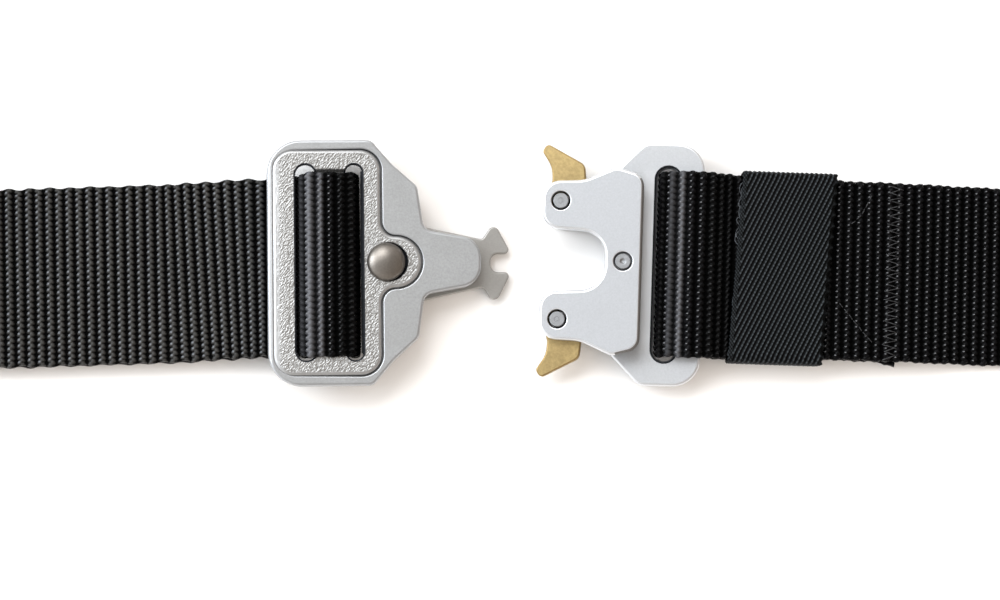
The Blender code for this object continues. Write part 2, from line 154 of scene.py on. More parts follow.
def insert_outline(step=6.0):
    """The insert's outline, its lobe a true half circle run out of the frame's
    side through two hollow corners."""
    x_side, half_h, r_out = -1.60, 23.65, 4.4
    lobe, hollow = 5.42, 3.05
    cx = x_side + hollow

    def arc(px, py, r, a0, a1):
        n = max(2, math.ceil(abs(a1 - a0) / step))
        return [(px + r * math.cos(math.radians(a0 + (a1 - a0) * k / n)),
                 py + r * math.sin(math.radians(a0 + (a1 - a0) * k / n))) for k in range(n + 1)]
    up = lobe + hollow
    pts = arc(cx, 0.0, lobe, -90, 90)
    pts += arc(cx, up, hollow, 270, 180)
    pts += arc(x_side - r_out, half_h - r_out, r_out, 0, 90)
    pts += arc(-24.30 + r_out, half_h - r_out, r_out, 90, 180)
    pts += arc(-24.30 + r_out, r_out - half_h, r_out, 180, 270)
    pts += arc(x_side - r_out, r_out - half_h, r_out, 270, 360)
    pts += arc(cx, -up, hollow, 180, 90)
    return np.array(pts)


def stadium(slot, sides=22, trim=0.0):
    x0, x1, half = slot
    x0, x1, half = x0 + trim, x1 - trim, half - trim
    r, cx = (x1 - x0) / 2, (x0 + x1) / 2
    pts = []
    for end in (1, -1):
        for k in range(sides + 1):
            a = math.pi * k / sides
            pts.append((cx + end * r * math.cos(a), end * (half - r + r * math.sin(a))))
    return np.array(pts)


def circle(x, y, r, sides=56):
    a = 2 * np.pi * np.arange(sides) / sides
    return np.stack([x + r * np.cos(a), y + r * np.sin(a)], 1)


def area2(p):
    q = np.roll(p, -1, 0)
    return float((p[:, 0] * q[:, 1] - p[:, 1] * q[:, 0]).sum())


def ccw(p):
    return p if area2(p) > 0 else p[::-1].copy()


def cw(p):
    return p if area2(p) < 0 else p[::-1].copy()


def tidy(p, least=0.02):
    keep = np.linalg.norm(p - np.roll(p, 1, 0), axis=1) > least
    return p[keep]


def into(p, d):
    """Moves a closed outline d to its left, which is into the material."""
    a = p - np.roll(p, 1, 0)
    b = np.roll(p, -1, 0) - p
    a /= np.linalg.norm(a, axis=1)[:, None]
    b /= np.linalg.norm(b, axis=1)[:, None]
    t = a + b
    t /= np.maximum(np.linalg.norm(t, axis=1), 1e-9)[:, None]
    k = np.sqrt(np.clip((1 + (a * b).sum(1)) / 2, 0.25, 1))
    return p + np.stack([-t[:, 1], t[:, 0]], 1) * (d / k)[:, None]


def inside(points, rings):
    """Even-odd test of points against closed rings."""
    hit = np.zeros(len(points), bool)
    x, y = points[:, 0], points[:, 1]
    for ring in rings:
        a, b = ring, np.roll(ring, -1, 0)
        for (x0, y0), (x1, y1) in zip(a, b):
            if y0 == y1:
                continue
            cross = (y0 > y) != (y1 > y)
            at = (x1 - x0) * (y - y0) / (y1 - y0) + x0
            hit ^= cross & (x < at)
    return hit


# ============================================================== solids of metal
class Solid:
    """A closed mesh made of side walls and flat caps."""

    def __init__(self):
        self.v, self.f, self.s, self.m = [], [], [], []

    def ring(self, pts, z):
        start = len(self.v)
        zz = np.broadcast_to(np.asarray(z, float), (len(pts),))
        self.v += [(float(x), float(y), float(h)) for (x, y), h in zip(pts, zz)]
        return np.arange(start, start + len(pts))

    def wall(self, loop, rows, smooth=True, mat=0, edge=None):
        """Rows are (into the material, height) from the bottom up.

        The rounded upper edge takes the material edge where one is given.
        """
        rings = [self.ring(into(loop, d) if abs(d) > 1e-9 else loop, z) for d, z in rows]
        for k, (lo, hi) in enumerate(zip(rings[:-1], rings[1:])):
            n = len(lo)
            use = edge if edge is not None and k >= len(rows) - 6 else mat
            for i in range(n):
                j = (i + 1) % n
                self.f.append((lo[i], lo[j], hi[j], hi[i]))
                self.s.append(smooth)
                self.m.append(use)
        return rings[0], rings[-1]

    def cap(self, rings, up=True, smooth=False, extra=None, mat=0):
        idx = np.concatenate(rings)
        pts = [Vector(self.v[i][:2]) for i in idx]
        edges, at = [], 0
        for r in rings:
            n = len(r)
            edges += [(at + i, at + (i + 1) % n) for i in range(n)]
            at += n
        flat = [np.array([self.v[i][:2] for i in r]) for r in rings]
        if extra is not None and len(extra):
            z = self.v[idx[0]][2]
            more = self.ring(extra, z)
            idx = np.concatenate([idx, more])
            pts += [Vector((float(x), float(y))) for x, y in extra]
        out_v, _, faces, orig, _, _ = delaunay_2d_cdt(pts, edges, [], 0, 1e-7)
        back = [o[0] if o else None for o in orig]
        tri = np.array([f for f in faces if all(back[k] is not None for k in f)])
        xy = np.array([(p.x, p.y) for p in out_v])
        keep = inside(xy[tri].mean(1), flat)
        count = 0
        for f in tri[keep]:
            f = [int(idx[back[k]]) for k in f]
            self.f.append(tuple(f) if up else tuple(reversed(f)))
            self.s.append(smooth)
            self.m.append(mat)
            count += 1
        return count

    def mesh(self, name, place, mats, offset=(0, 0, 0)):
        v = np.array(self.v) + np.array(offset, float)
        v = place(v)
        me = bpy.data.meshes.new(name)
        me.from_pydata([tuple(p) for p in v], [], [tuple(int(i) for i in f) for f in self.f])
        me.polygons.foreach_set("use_smooth", np.array(self.s, bool))
        me.polygons.foreach_set("material_index", np.array(self.m, np.int32))
        me.validate()
        me.update()
        obj = bpy.data.objects.new(name, me)
        bpy.context.scene.collection.objects.link(obj)
        for m in mats:
            me.materials.append(m)
        return obj


def edge_rows(z0, z1, low, high, k=5):
    """Side wall with a rounded edge of radius low below and high above."""
    rows = []
    if low > 0:
        rows += [(low * (1 - math.sin(a)), z0 + low * (1 - math.cos(a)))
                 for a in np.linspace(0, math.pi / 2, k + 1)]
    else:
        rows.append((0.0, z0))
    if high > 0:
        rows += [(high * (1 - math.cos(a)), z1 - high * (1 - math.sin(a)))
                 for a in np.linspace(0, math.pi / 2, k + 1)]
    else:
        rows.append((0.0, z1))
    return rows


def to_belt(half):
    """Placing function from a half's own millimetres to the frame's metres."""
    x, y, z, lean, turn = HALVES[half]
    a, b = math.radians(turn), math.radians(lean)
    rz = np.array([[math.cos(a), -math.sin(a), 0], [math.sin(a), math.cos(a), 0], [0, 0, 1]])
    ry = np.array([[math.cos(b), 0, math.sin(b)], [0, 1, 0], [-math.sin(b), 0, math.cos(b)]])
    r = rz @ ry
    c = np.array([x, y, z]) - BOX_MIDDLE

    def place(v):
        return (v @ r.T + c) * MM
    return place


def belt_place(v):
    return (np.asarray(v, float) - BOX_MIDDLE) * MM


# =============================================================== grid meshes
def quad_mesh(name, verts, quads, uvs, mats, tris=None, relief=None):
    """Mesh from arrays; uvs is {map name: (n quads, 4, 2) array}."""
    me = bpy.data.meshes.new(name)
    nq = len(quads)
    nt = 0 if tris is None else len(tris)
    me.vertices.add(len(verts))
    me.vertices.foreach_set("co", np.ascontiguousarray(verts, np.float32).ravel())
    loops = np.asarray(quads, np.int32).ravel()
    if nt:
        loops = np.concatenate([loops, np.asarray(tris, np.int32).ravel()])
    me.loops.add(len(loops))
    me.loops.foreach_set("vertex_index", loops)
    me.polygons.add(nq + nt)
    start = np.concatenate([np.arange(nq) * 4, nq * 4 + np.arange(nt) * 3]).astype(np.int32)
    me.polygons.foreach_set("loop_start", start)
    me.polygons.foreach_set("use_smooth", np.concatenate([np.ones(nq, bool), np.zeros(nt, bool)]))
    for key, uv in uvs.items():
        layer = me.uv_layers.new(name=key)
        data = np.asarray(uv, np.float32).reshape(-1, 2)
        if nt:
            data = np.concatenate([data, np.tile(data[:1], (nt * 3, 1))])
        layer.data.foreach_set("uv", data.ravel())
    for key, values in (relief or {}).items():
        att = me.attributes.new(key, "FLOAT", "POINT")
        att.data.foreach_set("value", np.ascontiguousarray(values, np.float32).ravel())
    me.update(calc_edges=True)
    me.validate()
    obj = bpy.data.objects.new(name, me)
    bpy.context.scene.collection.objects.link(obj)
    for m in mats:
        me.materials.append(m)
    return obj


# ============================================================ route of the strap
def from_half(name, x, z):
    hx, _, hz, lean, _ = HALVES[name]
    a = math.radians(lean)
    return (hx + x * math.cos(a) + z * math.sin(a), hz - x * math.sin(a) + z * math.cos(a))


def front_line(x):
    mx, my, _, _, mturn = HALVES["male"]
    fx, fy, _, _, fturn = HALVES["female"]
    if x > 0:
        k = math.tan(math.radians(fturn))
        return fy + (x - fx) * k, k
    under, clear, far = -49.0, -72.0, -105.0
    slope_in = math.tan(math.radians(mturn))
    slope_out = 0.0305
    y_in = my - 0.6 + (under - mx) * slope_in
    y_out = -3.55 + (clear - far) * slope_out
    if x > under:
        return y_in + (x - under) * slope_in, slope_in
    if x < clear:
        return y_out + (x - clear) * slope_out, slope_out
    t = (x - clear) / (under - clear)
    span = under - clear
    y = ((2 * t**3 - 3 * t**2 + 1) * y_out + (t**3 - 2 * t**2 + t) * span * slope_out
         + (-2 * t**3 + 3 * t**2) * y_in + (t**3 - t**2) * span * slope_in)
    d = ((6 * t**2 - 6 * t) * (y_out - y_in) / span
         + (3 * t**2 - 4 * t + 1) * slope_out + (3 * t**2 - 2 * t) * slope_in)
    return y, d


def side_routes():
    low = WEB_T / 2
    high = low + WEB_T + GAP
    over = BAR[1] + GAP + WEB_T / 2
    under = MALE_PLATE[0] - GAP - WEB_T / 2
    left_x, right_x = -17.6, -7.15
    down = from_half("male", right_x, 0.0)
    lean = math.radians(HALVES["male"][3])
    turn_x = down[0] + (low - down[1]) * math.tan(lean)
    male = [
        (TAIL_END_X, low, 0),
        (turn_x, low, 2.3),
        (*from_half("male", right_x, over), 2.3),
        (*from_half("male", left_x, over), 2.3),
        (*from_half("male", left_x, under), 2.3),
        (*from_half("male", -27.5, under), 40),
        (-68.0, high, 90),
        (-108.0, high, 50),
        (-121.0, low, 50),
        (EXIT_X["left"], low, 0),
    ]
    pass_x, top, foot = 8.4, 4.2, -1.8
    female = [
        (RETURN_END_X, low + 0.35, 0),
        (80.0, low + 0.35, 20),
        (70.6, low + LIFT, 20),
        (47.5, low + LIFT, 40),
        (*from_half("female", 19.0, foot), 12),
        (*from_half("female", pass_x, foot), 3.0),
        (*from_half("female", pass_x, top), 3.0),
        (*from_half("female", 18.2, top), 9),
        (47.0, high + LIFT, 30),
        (71.0, high + LIFT, 30),
        (87.0, high + 0.1, 30),
        (101.0, low, 50),
        (EXIT_X["right"], low, 0),
    ]
    return male, female


def walk(route, arc=5.0, run=1.0):
    pts = []
    for i, (x, z, r) in enumerate(route):
        p = Vector((x, z))
        if 0 < i < len(route) - 1 and r > 0:
            pts += fillet(p, Vector(route[i - 1][:2]) - p, Vector(route[i + 1][:2]) - p, r, arc)
        else:
            pts.append(p)
    out = [pts[0]]
    for p in pts[1:]:
        q = out[-1]
        if (p - q).length < 1e-6:
            continue
        n = max(1, math.ceil((p - q).length / run))
        for k in range(1, n + 1):
            out.append(q + (p - q) * (k / n))
    return out


def bezier(p0, h0, len0, p1, h1, len1, n):
    a, b = math.radians(h0), math.radians(h1)
    c0 = (p0[0] + len0 * math.cos(a), p0[1] + len0 * math.sin(a))
    c1 = (p1[0] - len1 * math.cos(b), p1[1] - len1 * math.sin(b))
    out = []
    for k in range(n + 1):
        t = k / n
        u = 1 - t
        w = (u**3, 3 * u * u * t, 3 * u * t * t, t**3)
        out.append((w[0] * p0[0] + w[1] * c0[0] + w[2] * c1[0] + w[3] * p1[0],
                    w[0] * p0[1] + w[1] * c0[1] + w[2] * c1[1] + w[3] * p1[1]))
    return out


def loop_plan():
    y_r, k_r = front_line(EXIT_X["right"])
    y_l, k_l = front_line(EXIT_X["left"])
    side, back = LOOP
    rows = [
        (EXIT_X["right"], y_r, math.degrees(math.atan(k_r)), 0.0, EXIT_HANDLE),
        side,
        back,
        (-side[0], side[1], 360 - side[2], side[4], side[3]),
        (EXIT_X["left"], y_l, 360 + math.degrees(math.atan(k_l)), EXIT_HANDLE, 0.0),
    ]
    pts = [rows[0][:2]]
    for a, b in zip(rows[:-1], rows[1:]):
        span = math.hypot(b[0] - a[0], b[1] - a[1])
        pts += bezier(a[:2], a[2], a[4], b[:2], b[2], b[3], round(span / 1.2))[1:]
    return np.array(pts)


def strap_line():
    """Middle line and width direction of the whole strap, finely sampled."""
    c, w = [], []

    def flat(p):
        y, k = front_line(p.x)
        n = math.hypot(1.0, k)
        c.append((p.x, y, p.y))
        w.append((-k / n, 1.0 / n, 0.0))

    male, female = side_routes()
    for p in walk(female):
        flat(p)
    plan = loop_plan()
    run = np.concatenate([[0], np.cumsum(np.linalg.norm(np.diff(plan, axis=0), axis=1))])
    for i in range(1, len(plan) - 1):
        d = plan[i + 1] - plan[i - 1]
        d /= np.linalg.norm(d)
        s = min(1.0, min(run[i], run[-1] - run[i]) / TWIST_LEN)
        phi = math.pi / 2 * (3 * s * s - 2 * s**3)
        w.append((-d[1] * math.cos(phi), d[0] * math.cos(phi), math.sin(phi)))
        c.append((plan[i][0], plan[i][1],
                  WEB_W / 2 * math.sin(phi) + WEB_T / 2 * math.cos(phi)))
    for p in reversed(walk(male)):
        flat(p)
    c, w = np.array(c), np.array(w)
    s = np.concatenate([[0], np.cumsum(np.linalg.norm(np.diff(c, axis=0), axis=1))])
    t = np.gradient(c, axis=0)
    t /= np.linalg.norm(t, axis=1)[:, None]
    n = np.cross(t, w)
    n /= np.linalg.norm(n, axis=1)[:, None]
    return s, c, w, n


LINE_S, LINE_C, LINE_W, LINE_N = strap_line()
LENGTH = float(LINE_S[-1])


def line_at(s):
    """Middle, width direction and outward normal at lengths s."""
    pick = [np.stack([np.interp(s, LINE_S, a[:, k]) for k in range(3)], -1)
            for a in (LINE_C, LINE_W, LINE_N)]
    for a in pick[1:]:
        a /= np.linalg.norm(a, axis=-1)[..., None]
    return pick


def length_at(x, upper=True, side="right"):
    """Length along the strap where its upper layer passes x."""
    if side == "right":
        part = (LINE_S > 55) & (LINE_S < 175)
        s, xs = LINE_S[part], LINE_C[part, 0]
        turn = np.argmin(xs)
        s, xs = s[turn:], xs[turn:]
        return float(np.interp(x, xs, s))
    part = LINE_S > LENGTH - 215
    s, xs = LINE_S[part], LINE_C[part, 0]
    turn = np.argmax(xs)
    return float(np.interp(x, xs[:turn], s[:turn]))


# ================================================================== materials
def nodes_of(name):
    mat = bpy.data.materials.new(name)
    mat.use_nodes = True
    nt = mat.node_tree
    for n in list(nt.nodes):
        nt.nodes.remove(n)
    out = nt.nodes.new("ShaderNodeOutputMaterial")
    bsdf = nt.nodes.new("ShaderNodeBsdfPrincipled")
    nt.links.new(bsdf.outputs["BSDF"], out.inputs["Surface"])
    return mat, nt, bsdf


def add(nt, kind, **values):
    node = nt.nodes.new(kind)
    for key, val in values.items():
        if hasattr(node, key) and key not in node.inputs:
            setattr(node, key, val)
        else:
            node.inputs[key].default_value = val
    return node


def ramp(nt, fac, stops):
    node = nt.nodes.new("ShaderNodeValToRGB")
    els = node.color_ramp.elements
    while len(els) < len(stops):
        els.new(0.5)
    for el, (pos, col) in zip(els, stops):
        el.position = pos
        el.color = (*col, 1.0) if len(col) == 3 else col
    nt.links.new(fac, node.inputs["Fac"])
    return node


def grey(v):
    return (v, v, v)


def metal(name, base, rough, speck=0.06, speck_scale=2600.0, bump=0.05, metallic=1.0,
          cloud=0.04, brushed=None):
    """Fine blasted metal: colour cloud, sparkle of the grain, micro relief."""
    mat, nt, bsdf = nodes_of(name)
    tc = add(nt, "ShaderNodeTexCoord")
    fine = add(nt, "ShaderNodeTexNoise", Scale=speck_scale, Detail=2.0, Roughness=0.6)
    wide = add(nt, "ShaderNodeTexNoise", Scale=180.0, Detail=3.0, Roughness=0.55)
    nt.links.new(tc.outputs["Object"], fine.inputs["Vector"])
    nt.links.new(tc.outputs["Object"], wide.inputs["Vector"])
    b = np.array(base)
    dark, light = tuple(b * (1 - speck)), tuple(np.minimum(b * (1 + speck), 1.0))
    c1 = ramp(nt, fine.outputs["Fac"], [(0.30, dark), (0.70, light)])
    c2 = ramp(nt, wide.outputs["Fac"], [(0.3, grey(1 - cloud)), (0.7, grey(1.0))])
    mix = add(nt, "ShaderNodeMix", data_type="RGBA", blend_type="MULTIPLY")
    mix.inputs[0].default_value = 1.0
    nt.links.new(c1.outputs["Color"], mix.inputs[6])
    nt.links.new(c2.outputs["Color"], mix.inputs[7])
    nt.links.new(mix.outputs[2], bsdf.inputs["Base Color"])
    r = ramp(nt, wide.outputs["Fac"], [(0.2, grey(max(0.05, rough - 0.05))), (0.8, grey(rough + 0.06))])
    nt.links.new(r.outputs["Color"], bsdf.inputs["Roughness"])
    bsdf.inputs["Metallic"].default_value = metallic
    bp = add(nt, "ShaderNodeBump", Strength=bump, Distance=0.0001)
    if brushed is None:
        nt.links.new(fine.outputs["Fac"], bp.inputs["Height"])
    else:
        mapping = add(nt, "ShaderNodeMapping")
        mapping.inputs["Scale"].default_value = brushed
        nt.links.new(tc.outputs["Object"], mapping.inputs["Vector"])
        line = add(nt, "ShaderNodeTexNoise", Scale=900.0, Detail=3.0, Roughness=0.6)
        nt.links.new(mapping.outputs["Vector"], line.inputs["Vector"])
        nt.links.new(line.outputs["Fac"], bp.inputs["Height"])
    nt.links.new(bp.outputs["Normal"], bsdf.inputs["Normal"])
    return mat


def webbing_material():
    """Nylon webbing: filaments along the strap, a paler left stretch that is painted sheen."""
    mat, nt, bsdf = nodes_of("webbing_nylon")
    uv = add(nt, "ShaderNodeUVMap", uv_map="weave")
    sep = add(nt, "ShaderNodeSeparateXYZ")
    nt.links.new(uv.outputs["UV"], sep.inputs["Vector"])
    # painted sheen: the stretch on the tongue side is paler than the rest
    near, far = length_at(-46.0, side="left"), length_at(EXIT_X["left"] + 2, side="left")
    left = ramp(nt, sep.outputs["X"], [((far - 90.0) / LENGTH, grey(0.0)), ((far - 20.0) / LENGTH, grey(1.0)),
                                       (near / LENGTH, grey(1.0)), ((near + 6.0) / LENGTH, grey(0.0))])
    tc = add(nt, "ShaderNodeTexCoord")
    wide = add(nt, "ShaderNodeTexNoise", Scale=60.0, Detail=4.0, Roughness=0.6)
    nt.links.new(tc.outputs["Object"], wide.inputs["Vector"])
    deep = ramp(nt, wide.outputs["Fac"], [(0.3, (0.0016, 0.0016, 0.0020)), (0.7, (0.0032, 0.0032, 0.0038))])
    pale = ramp(nt, wide.outputs["Fac"], [(0.3, (0.038, 0.038, 0.037)), (0.7, (0.054, 0.0535, 0.052))])
    mix = add(nt, "ShaderNodeMix", data_type="RGBA")
    nt.links.new(left.outputs["Color"], mix.inputs[0])
    nt.links.new(deep.outputs["Color"], mix.inputs[6])
    nt.links.new(pale.outputs["Color"], mix.inputs[7])
    # painted shade deep in the grooves of the weave
    att = add(nt, "ShaderNodeAttribute", attribute_name="relief")
    hollow = ramp(nt, att.outputs["Fac"], [(0.25, grey(0.02)), (0.55, grey(0.40)), (0.9, grey(1.0))])
    dark = add(nt, "ShaderNodeMix", data_type="RGBA", blend_type="MULTIPLY")
    dark.inputs[0].default_value = 1.0
    nt.links.new(mix.outputs[2], dark.inputs[6])
    nt.links.new(hollow.outputs["Color"], dark.inputs[7])
    # painted shade: the stretches sloping down beyond the folds are blacker, with weaker painted highlights
    fold_light_att = add(nt, "ShaderNodeAttribute", attribute_name="wear")
    slope_shade = ramp(nt, fold_light_att.outputs["Fac"], [(0.0, grey(0.40)), (1.0, grey(1.0))])
    black = add(nt, "ShaderNodeMix", data_type="RGBA", blend_type="MULTIPLY")
    black.inputs[0].default_value = 1.0
    nt.links.new(dark.outputs[2], black.inputs[6])
    nt.links.new(slope_shade.outputs["Color"], black.inputs[7])
    # painted highlight on the crown of each yarn
    cr = add(nt, "ShaderNodeAttribute", attribute_name="crown")
    shine = ramp(nt, left.outputs["Color"], [(0.0, (0.24, 0.245, 0.258)), (1.0, (0.18, 0.192, 0.212))])
    broad = ramp(nt, cr.outputs["Fac"], [(0.25, grey(0.0)), (0.95, grey(1.0))])
    small = ramp(nt, cr.outputs["Fac"], [(0.56, grey(0.0)), (0.95, grey(1.0))])
    highlight_spot = add(nt, "ShaderNodeMix", data_type="RGBA")
    nt.links.new(left.outputs["Color"], highlight_spot.inputs[0])
    nt.links.new(small.outputs["Color"], highlight_spot.inputs[6])
    nt.links.new(broad.outputs["Color"], highlight_spot.inputs[7])
    highlight_fac = add(nt, "ShaderNodeMath", operation="MULTIPLY", use_clamp=True)
    nt.links.new(highlight_spot.outputs[2], highlight_fac.inputs[0])
    nt.links.new(fold_light_att.outputs["Fac"], highlight_fac.inputs[1])
    last = add(nt, "ShaderNodeMix", data_type="RGBA")
    nt.links.new(highlight_fac.outputs["Value"], last.inputs[0])
    nt.links.new(black.outputs[2], last.inputs[6])
    nt.links.new(shine.outputs["Color"], last.inputs[7])
    # painted highlight on whole ribs where the strap folds over the metal
    fold = add(nt, "ShaderNodeMath", operation="SUBTRACT", use_clamp=True)
    nt.links.new(fold_light_att.outputs["Fac"], fold.inputs[0])
    fold.inputs[1].default_value = 1.0
    top = ramp(nt, att.outputs["Fac"], [(0.0, grey(0.14)), (0.62, grey(1.0))])
    both = add(nt, "ShaderNodeMath", operation="MULTIPLY", use_clamp=True)
    nt.links.new(fold.outputs["Value"], both.inputs[0])
    nt.links.new(top.outputs["Color"], both.inputs[1])
    fold_glint_mix = add(nt, "ShaderNodeMix", data_type="RGBA")
    fold_glint_mix.inputs[7].default_value = (0.126, 0.129, 0.141, 1.0)
    nt.links.new(both.outputs["Value"], fold_glint_mix.inputs[0])
    nt.links.new(last.outputs[2], fold_glint_mix.inputs[6])
    nt.links.new(fold_glint_mix.outputs[2], bsdf.inputs["Base Color"])
    gloss = ramp(nt, att.outputs["Fac"], [(0.25, grey(0.95)), (0.50, grey(0.34)), (0.9, grey(0.25))])
    nt.links.new(gloss.outputs["Color"], bsdf.inputs["Roughness"])
    # filaments of the yarn
    mapping = add(nt, "ShaderNodeMapping")
    mapping.inputs["Scale"].default_value = (250.0, 330.0, 1.0)
    nt.links.new(uv.outputs["UV"], mapping.inputs["Vector"])
    fil = add(nt, "ShaderNodeTexNoise", Scale=1.0, Detail=2.0, Roughness=0.6, Distortion=0.4)
    nt.links.new(mapping.outputs["Vector"], fil.inputs["Vector"])
    bp = add(nt, "ShaderNodeBump", Strength=0.38, Distance=0.00012)
    nt.links.new(fil.outputs["Fac"], bp.inputs["Height"])
    nt.links.new(bp.outputs["Normal"], bsdf.inputs["Normal"])
    bsdf.inputs["Specular IOR Level"].default_value = 0.07
    return mat


def elastic_material():
    mat, nt, bsdf = nodes_of("keeper_elastic")
    uv = add(nt, "ShaderNodeUVMap", uv_map="weave")
    mapping = add(nt, "ShaderNodeMapping")
    mapping.inputs["Rotation"].default_value = (0, 0, math.radians(60))
    mapping.inputs["Scale"].default_value = (2.6, 0.8, 1.0)
    nt.links.new(uv.outputs["UV"], mapping.inputs["Vector"])
    fil = add(nt, "ShaderNodeTexNoise", Scale=3.0, Detail=3.0, Roughness=0.65)
    nt.links.new(mapping.outputs["Vector"], fil.inputs["Vector"])
    col = ramp(nt, fil.outputs["Fac"], [(0.30, (0.030, 0.036, 0.040)), (0.72, (0.092, 0.107, 0.119))])
    # painted shade deep in the grooves of the twill
    att = add(nt, "ShaderNodeAttribute", attribute_name="relief")
    hollow = ramp(nt, att.outputs["Fac"], [(0.64, grey(0.004)), (0.86, grey(0.24)), (1.0, grey(1.0))])
    dark = add(nt, "ShaderNodeMix", data_type="RGBA", blend_type="MULTIPLY")
    dark.inputs[0].default_value = 1.0
    nt.links.new(col.outputs["Color"], dark.inputs[6])
    nt.links.new(hollow.outputs["Color"], dark.inputs[7])
    nt.links.new(dark.outputs[2], bsdf.inputs["Base Color"])
    bp = add(nt, "ShaderNodeBump", Strength=0.5, Distance=0.0001)
    nt.links.new(fil.outputs["Fac"], bp.inputs["Height"])
    nt.links.new(bp.outputs["Normal"], bsdf.inputs["Normal"])
    bsdf.inputs["Roughness"].default_value = 0.55
    bsdf.inputs["Specular IOR Level"].default_value = 0.06
    return mat


def pebble_material():
    mat, nt, bsdf = nodes_of("insert_pebbled")
    tc = add(nt, "ShaderNodeTexCoord")
    slant = add(nt, "ShaderNodeMapping", vector_type="TEXTURE")
    slant.inputs["Rotation"].default_value = (0, 0, math.radians(50))
    slant.inputs["Scale"].default_value = (1.30, 0.82, 1.0)
    nt.links.new(tc.outputs["Object"], slant.inputs["Vector"])
    vor = add(nt, "ShaderNodeTexNoise", Scale=2700.0, Detail=0.0, Roughness=0.5, Distortion=0.0)
    fine = add(nt, "ShaderNodeTexNoise", Scale=3200.0, Detail=2.0, Roughness=0.6)
    nt.links.new(slant.outputs["Vector"], vor.inputs["Vector"])
    nt.links.new(tc.outputs["Object"], fine.inputs["Vector"])
    col = ramp(nt, vor.outputs["Fac"], [(0.34, (0.288, 0.286, 0.280)), (0.50, (0.360, 0.360, 0.355)),
                                        (0.66, (0.44, 0.442, 0.441))])
    nt.links.new(col.outputs["Color"], bsdf.inputs["Base Color"])
    bp = add(nt, "ShaderNodeBump", Strength=1.0, Distance=0.00019)
    nt.links.new(vor.outputs["Fac"], bp.inputs["Height"])
    bp2 = add(nt, "ShaderNodeBump", Strength=0.12, Distance=0.0001)
    nt.links.new(fine.outputs["Fac"], bp2.inputs["Height"])
    nt.links.new(bp.outputs["Normal"], bp2.inputs["Normal"])
    nt.links.new(bp2.outputs["Normal"], bsdf.inputs["Normal"])
    bsdf.inputs["Metallic"].default_value = 0.85
    bsdf.inputs["Roughness"].default_value = 0.46
    return mat


def thread_material(name, low, high):
    mat, nt, bsdf = nodes_of(name)
    tc = add(nt, "ShaderNodeTexCoord")
    fine = add(nt, "ShaderNodeTexNoise", Scale=2200.0, Detail=2.0)
    nt.links.new(tc.outputs["Object"], fine.inputs["Vector"])
    col = ramp(nt, fine.outputs["Fac"], [(0.38, low), (0.7, high)])
    nt.links.new(col.outputs["Color"], bsdf.inputs["Base Color"])
    bsdf.inputs["Roughness"].default_value = 0.45
    return mat


M_WEB = webbing_material()
M_ELASTIC = elastic_material()
M_PLATE = metal("plate_grey", (0.375, 0.384, 0.390), 0.52, speck=0.09, bump=0.14, cloud=0.04,
                metallic=0.72)
# plate_edge: a paler copy of the plate metal for the rounded edges, a painted highlight
M_EDGE = metal("plate_edge", (0.44, 0.452, 0.467), 0.42, speck=0.03, bump=0.05, metallic=0.9)
M_PEBBLE = pebble_material()
# insert_edge: smooth metal, paler than the pebbled face, partly a painted highlight
M_SMOOTH = metal("insert_edge", (0.45, 0.453, 0.455), 0.42, speck=0.05, bump=0.08, metallic=0.9)
M_SILVER_BASE = metal("base_silver", (0.455, 0.468, 0.485), 0.55, speck=0.05, bump=0.08, cloud=0.03,
                      metallic=0.65)
M_SILVER = metal("plate_silver", (0.425, 0.439, 0.460), 0.55, speck=0.05, bump=0.08, cloud=0.03,
                 metallic=0.65)
# silver_edge: a much paler copy of the plate silver for walls and edges, a painted highlight
M_SILVER_EDGE = metal("silver_edge", (0.70, 0.715, 0.74), 0.34, speck=0.02, bump=0.03, metallic=0.9)
M_ANCHOR = metal("anchor_steel", (0.385, 0.377, 0.362), 0.45, speck=0.05, bump=0.08, cloud=0.06,
                 metallic=0.85)
M_DOME = metal("dome_steel", (0.262, 0.240, 0.216), 0.38, speck=0.08, bump=0.12, cloud=0.22)
M_RIVET = metal("rivet_grey", (0.33, 0.338, 0.35), 0.45, speck=0.08, bump=0.12, cloud=0.10)
M_BRASS = metal("lever_brass", (0.46, 0.345, 0.16), 0.42, speck=0.14, speck_scale=1500.0,
                bump=0.22, cloud=0.18, metallic=0.85)
# brass_edge: a darker copy of the brass for the levers' rounded edges, painted shade
M_BRASS_EDGE = metal("brass_edge", (0.345, 0.245, 0.105), 0.42, speck=0.12, speck_scale=1500.0,
                     bump=0.2, cloud=0.18, metallic=0.85)
# crevice_shade: near-black painted shade for gaps, slots, holes and lips
M_PAINTED_SHADE = metal("crevice_shade", (0.017, 0.019, 0.023), 0.85, speck=0.1, bump=0.1, metallic=0.0)
next(n for n in M_PAINTED_SHADE.node_tree.nodes
     if n.type == "BSDF_PRINCIPLED").inputs["Specular IOR Level"].default_value = 0.18
# painted shade for the cover's edges turned away from the light
M_SHADE = metal("edge_shade", (0.150, 0.143, 0.138), 0.55, speck=0.06, bump=0.08, metallic=0.5)
M_THREAD = thread_material("seam_thread", (0.004, 0.004, 0.005), (0.040, 0.042, 0.046))
M_FRAY = thread_material("keeper_fluff", (0.018, 0.021, 0.025), (0.068, 0.079, 0.090))


